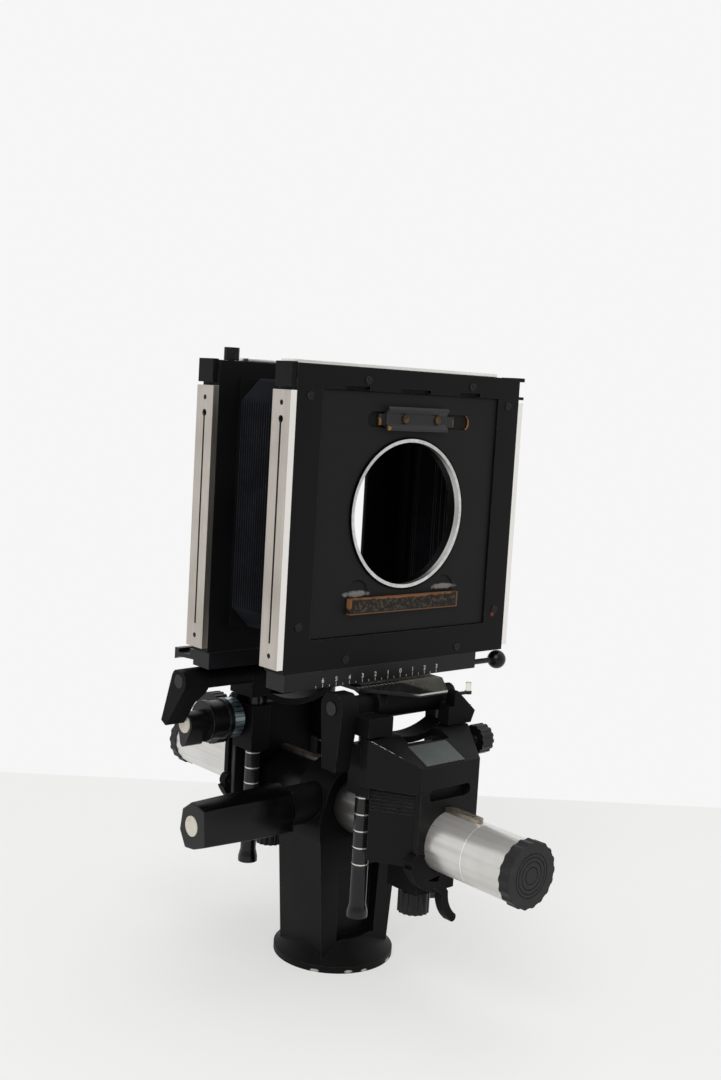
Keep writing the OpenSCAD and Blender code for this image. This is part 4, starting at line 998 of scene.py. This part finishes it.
class VIEWCAM_OT_stage(bpy.types.Operator):
    """Pale floor, soft lamps, surroundings and the camera at the photograph's view"""
    bl_idname = "viewcam.stage"
    bl_label = "Stage and camera"

    def execute(self, context):
        self.floor()
        self.surroundings()
        light = sizes("camera_light")
        self.lamp("Key", light.key, 1.3, (-1.35, -0.95, 1.55))
        self.lamp("Top", light.top, 1.6, (0.35, 0.15, 2.2))
        self.camera(context.scene)
        context.scene.view_settings.view_transform = "Standard"
        return {"FINISHED"}

    def floor(self):
        """A pale table top that turns into the wall's tone behind the object, as photographed."""
        table = start("plane", "table_top", size=8)
        material, tree, shader, coords = fresh("Matt white laminate")
        wall = soft_mask(tree, dot(tree, coords, WALL_WAY), WALL_BEGINS, WALL_FULL)
        tone = mix(tree, noise(tree, coords, 9.0, 3.0), "#eeeded", "#f2f2f1")
        feed(tree, shader, {"Base Color": tone, "Roughness": 0.7, "Specular IOR Level": 0.2})
        part = calc(tree, "MULTIPLY", span(tree, wall, 0.0, 1.0, 0.56, 1.0), seen(tree))
        paper = mix(tree, wall, "#f3f3f2", "#f6f6f6")
        glow = add(tree, "Emission", {"Color": paper, "Strength": 1.0})
        mixed = add(tree, "MixShader", {0: part, 1: shader.outputs[0], 2: glow.outputs[0]})
        output = next(n for n in tree.nodes if n.type == "OUTPUT_MATERIAL")
        tree.links.new(mixed.outputs[0], output.inputs["Surface"])
        table.data.materials.append(material)

    def surroundings(self):
        """A pale room, dimmer on the camera's side: white to the eye, weaker as a light."""
        world = bpy.data.worlds.new("Pale studio")
        bpy.context.scene.world = world
        world.use_nodes = True
        tree = world.node_tree
        tree.nodes.clear()
        light = {"Color": linear("#ffffff"), "Strength": sizes("camera_light").sky}
        plain = add(tree, "Background", light)
        toward = add(tree, "TexCoord").outputs["Generated"]
        glow = span(tree, dot(tree, toward, BRIGHT_WAY), -0.8, 0.25, 0.4, 1.0)
        white = add(tree, "Background", {"Color": linear("#f6f6f6"), "Strength": glow})
        mixed = add(tree, "MixShader", {0: seen(tree), 1: plain.outputs[0], 2: white.outputs[0]})
        add(tree, "OutputWorld", {"Surface": mixed.outputs[0]})

    def lamp(self, name, power, size, place):
        """A soft square lamp that faces the middle of the object."""
        bpy.ops.object.select_all(action="DESELECT")
        bpy.ops.object.light_add(type="AREA", location=place)
        lamp = bpy.context.active_object
        lamp.name = name
        lamp.data.energy = power
        lamp.data.size = size
        aim = Vector((0, 0, 0.2)) - Vector(place)
        lamp.rotation_euler = aim.to_track_quat("-Z", "Y").to_euler()

    def camera(self, scene):
        """The view of the photograph."""
        bpy.ops.object.select_all(action="DESELECT")
        bpy.ops.object.camera_add(location=CAMERA_PLACE)
        camera = bpy.context.active_object
        turn = Matrix((CAMERA_RIGHT, CAMERA_UP, [-a for a in CAMERA_AHEAD])).transposed()
        camera.rotation_mode = "QUATERNION"
        camera.rotation_quaternion = turn.to_quaternion().normalized()
        camera.data.sensor_width = FILM_WIDTH_MM
        camera.data.lens = LENS_MM
        camera.data.clip_start = 0.02
        scene.camera = camera


class VIEWCAM_PT_panel(bpy.types.Panel):
    """Lists the camera's pieces and their sizes"""
    bl_label = "View camera"
    bl_space_type = "VIEW_3D"
    bl_region_type = "UI"
    bl_category = "View camera"

    def draw(self, context):
        layout = self.layout
        for title, group, kind in SETTINGS:
            box = layout.box()
            box.label(text=title)
            for name in kind.__annotations__:
                box.prop(getattr(context.scene, group), name)
        for operator in PIECES:
            layout.operator(operator.bl_idname)


SETTINGS = [
    ("Bellows", "camera_bellows", BellowsSizes),
    ("Bar scale", "camera_scale", ScaleSizes),
    ("Format mask", "camera_mask", MaskSizes),
    ("Colours", "camera_colours", Colours),
    ("Light", "camera_light", StageLight),
]
PIECES = [VIEWCAM_OT_finishes, VIEWCAM_OT_bellows, VIEWCAM_OT_bar_scale, VIEWCAM_OT_index_dot,
          VIEWCAM_OT_trims, VIEWCAM_OT_format_mask, VIEWCAM_OT_level, VIEWCAM_OT_stage]


def register():
    for _, group, kind in SETTINGS:
        bpy.utils.register_class(kind)
        setattr(bpy.types.Scene, group, bpy.props.PointerProperty(type=kind))
    for operator in PIECES:
        bpy.utils.register_class(operator)
    bpy.utils.register_class(VIEWCAM_PT_panel)


def unregister():
    bpy.utils.unregister_class(VIEWCAM_PT_panel)
    for operator in reversed(PIECES):
        bpy.utils.unregister_class(operator)
    for _, group, kind in reversed(SETTINGS):
        delattr(bpy.types.Scene, group)
        bpy.utils.unregister_class(kind)


def main():
    register()
    bpy.ops.viewcam.finishes()
    bpy.ops.viewcam.bellows()
    bpy.ops.viewcam.bar_scale()
    bpy.ops.viewcam.index_dot()
    bpy.ops.viewcam.trims()
    bpy.ops.viewcam.format_mask()
    bpy.ops.viewcam.level()
    bpy.ops.viewcam.stage()


if __name__ == "__main__":
    main()
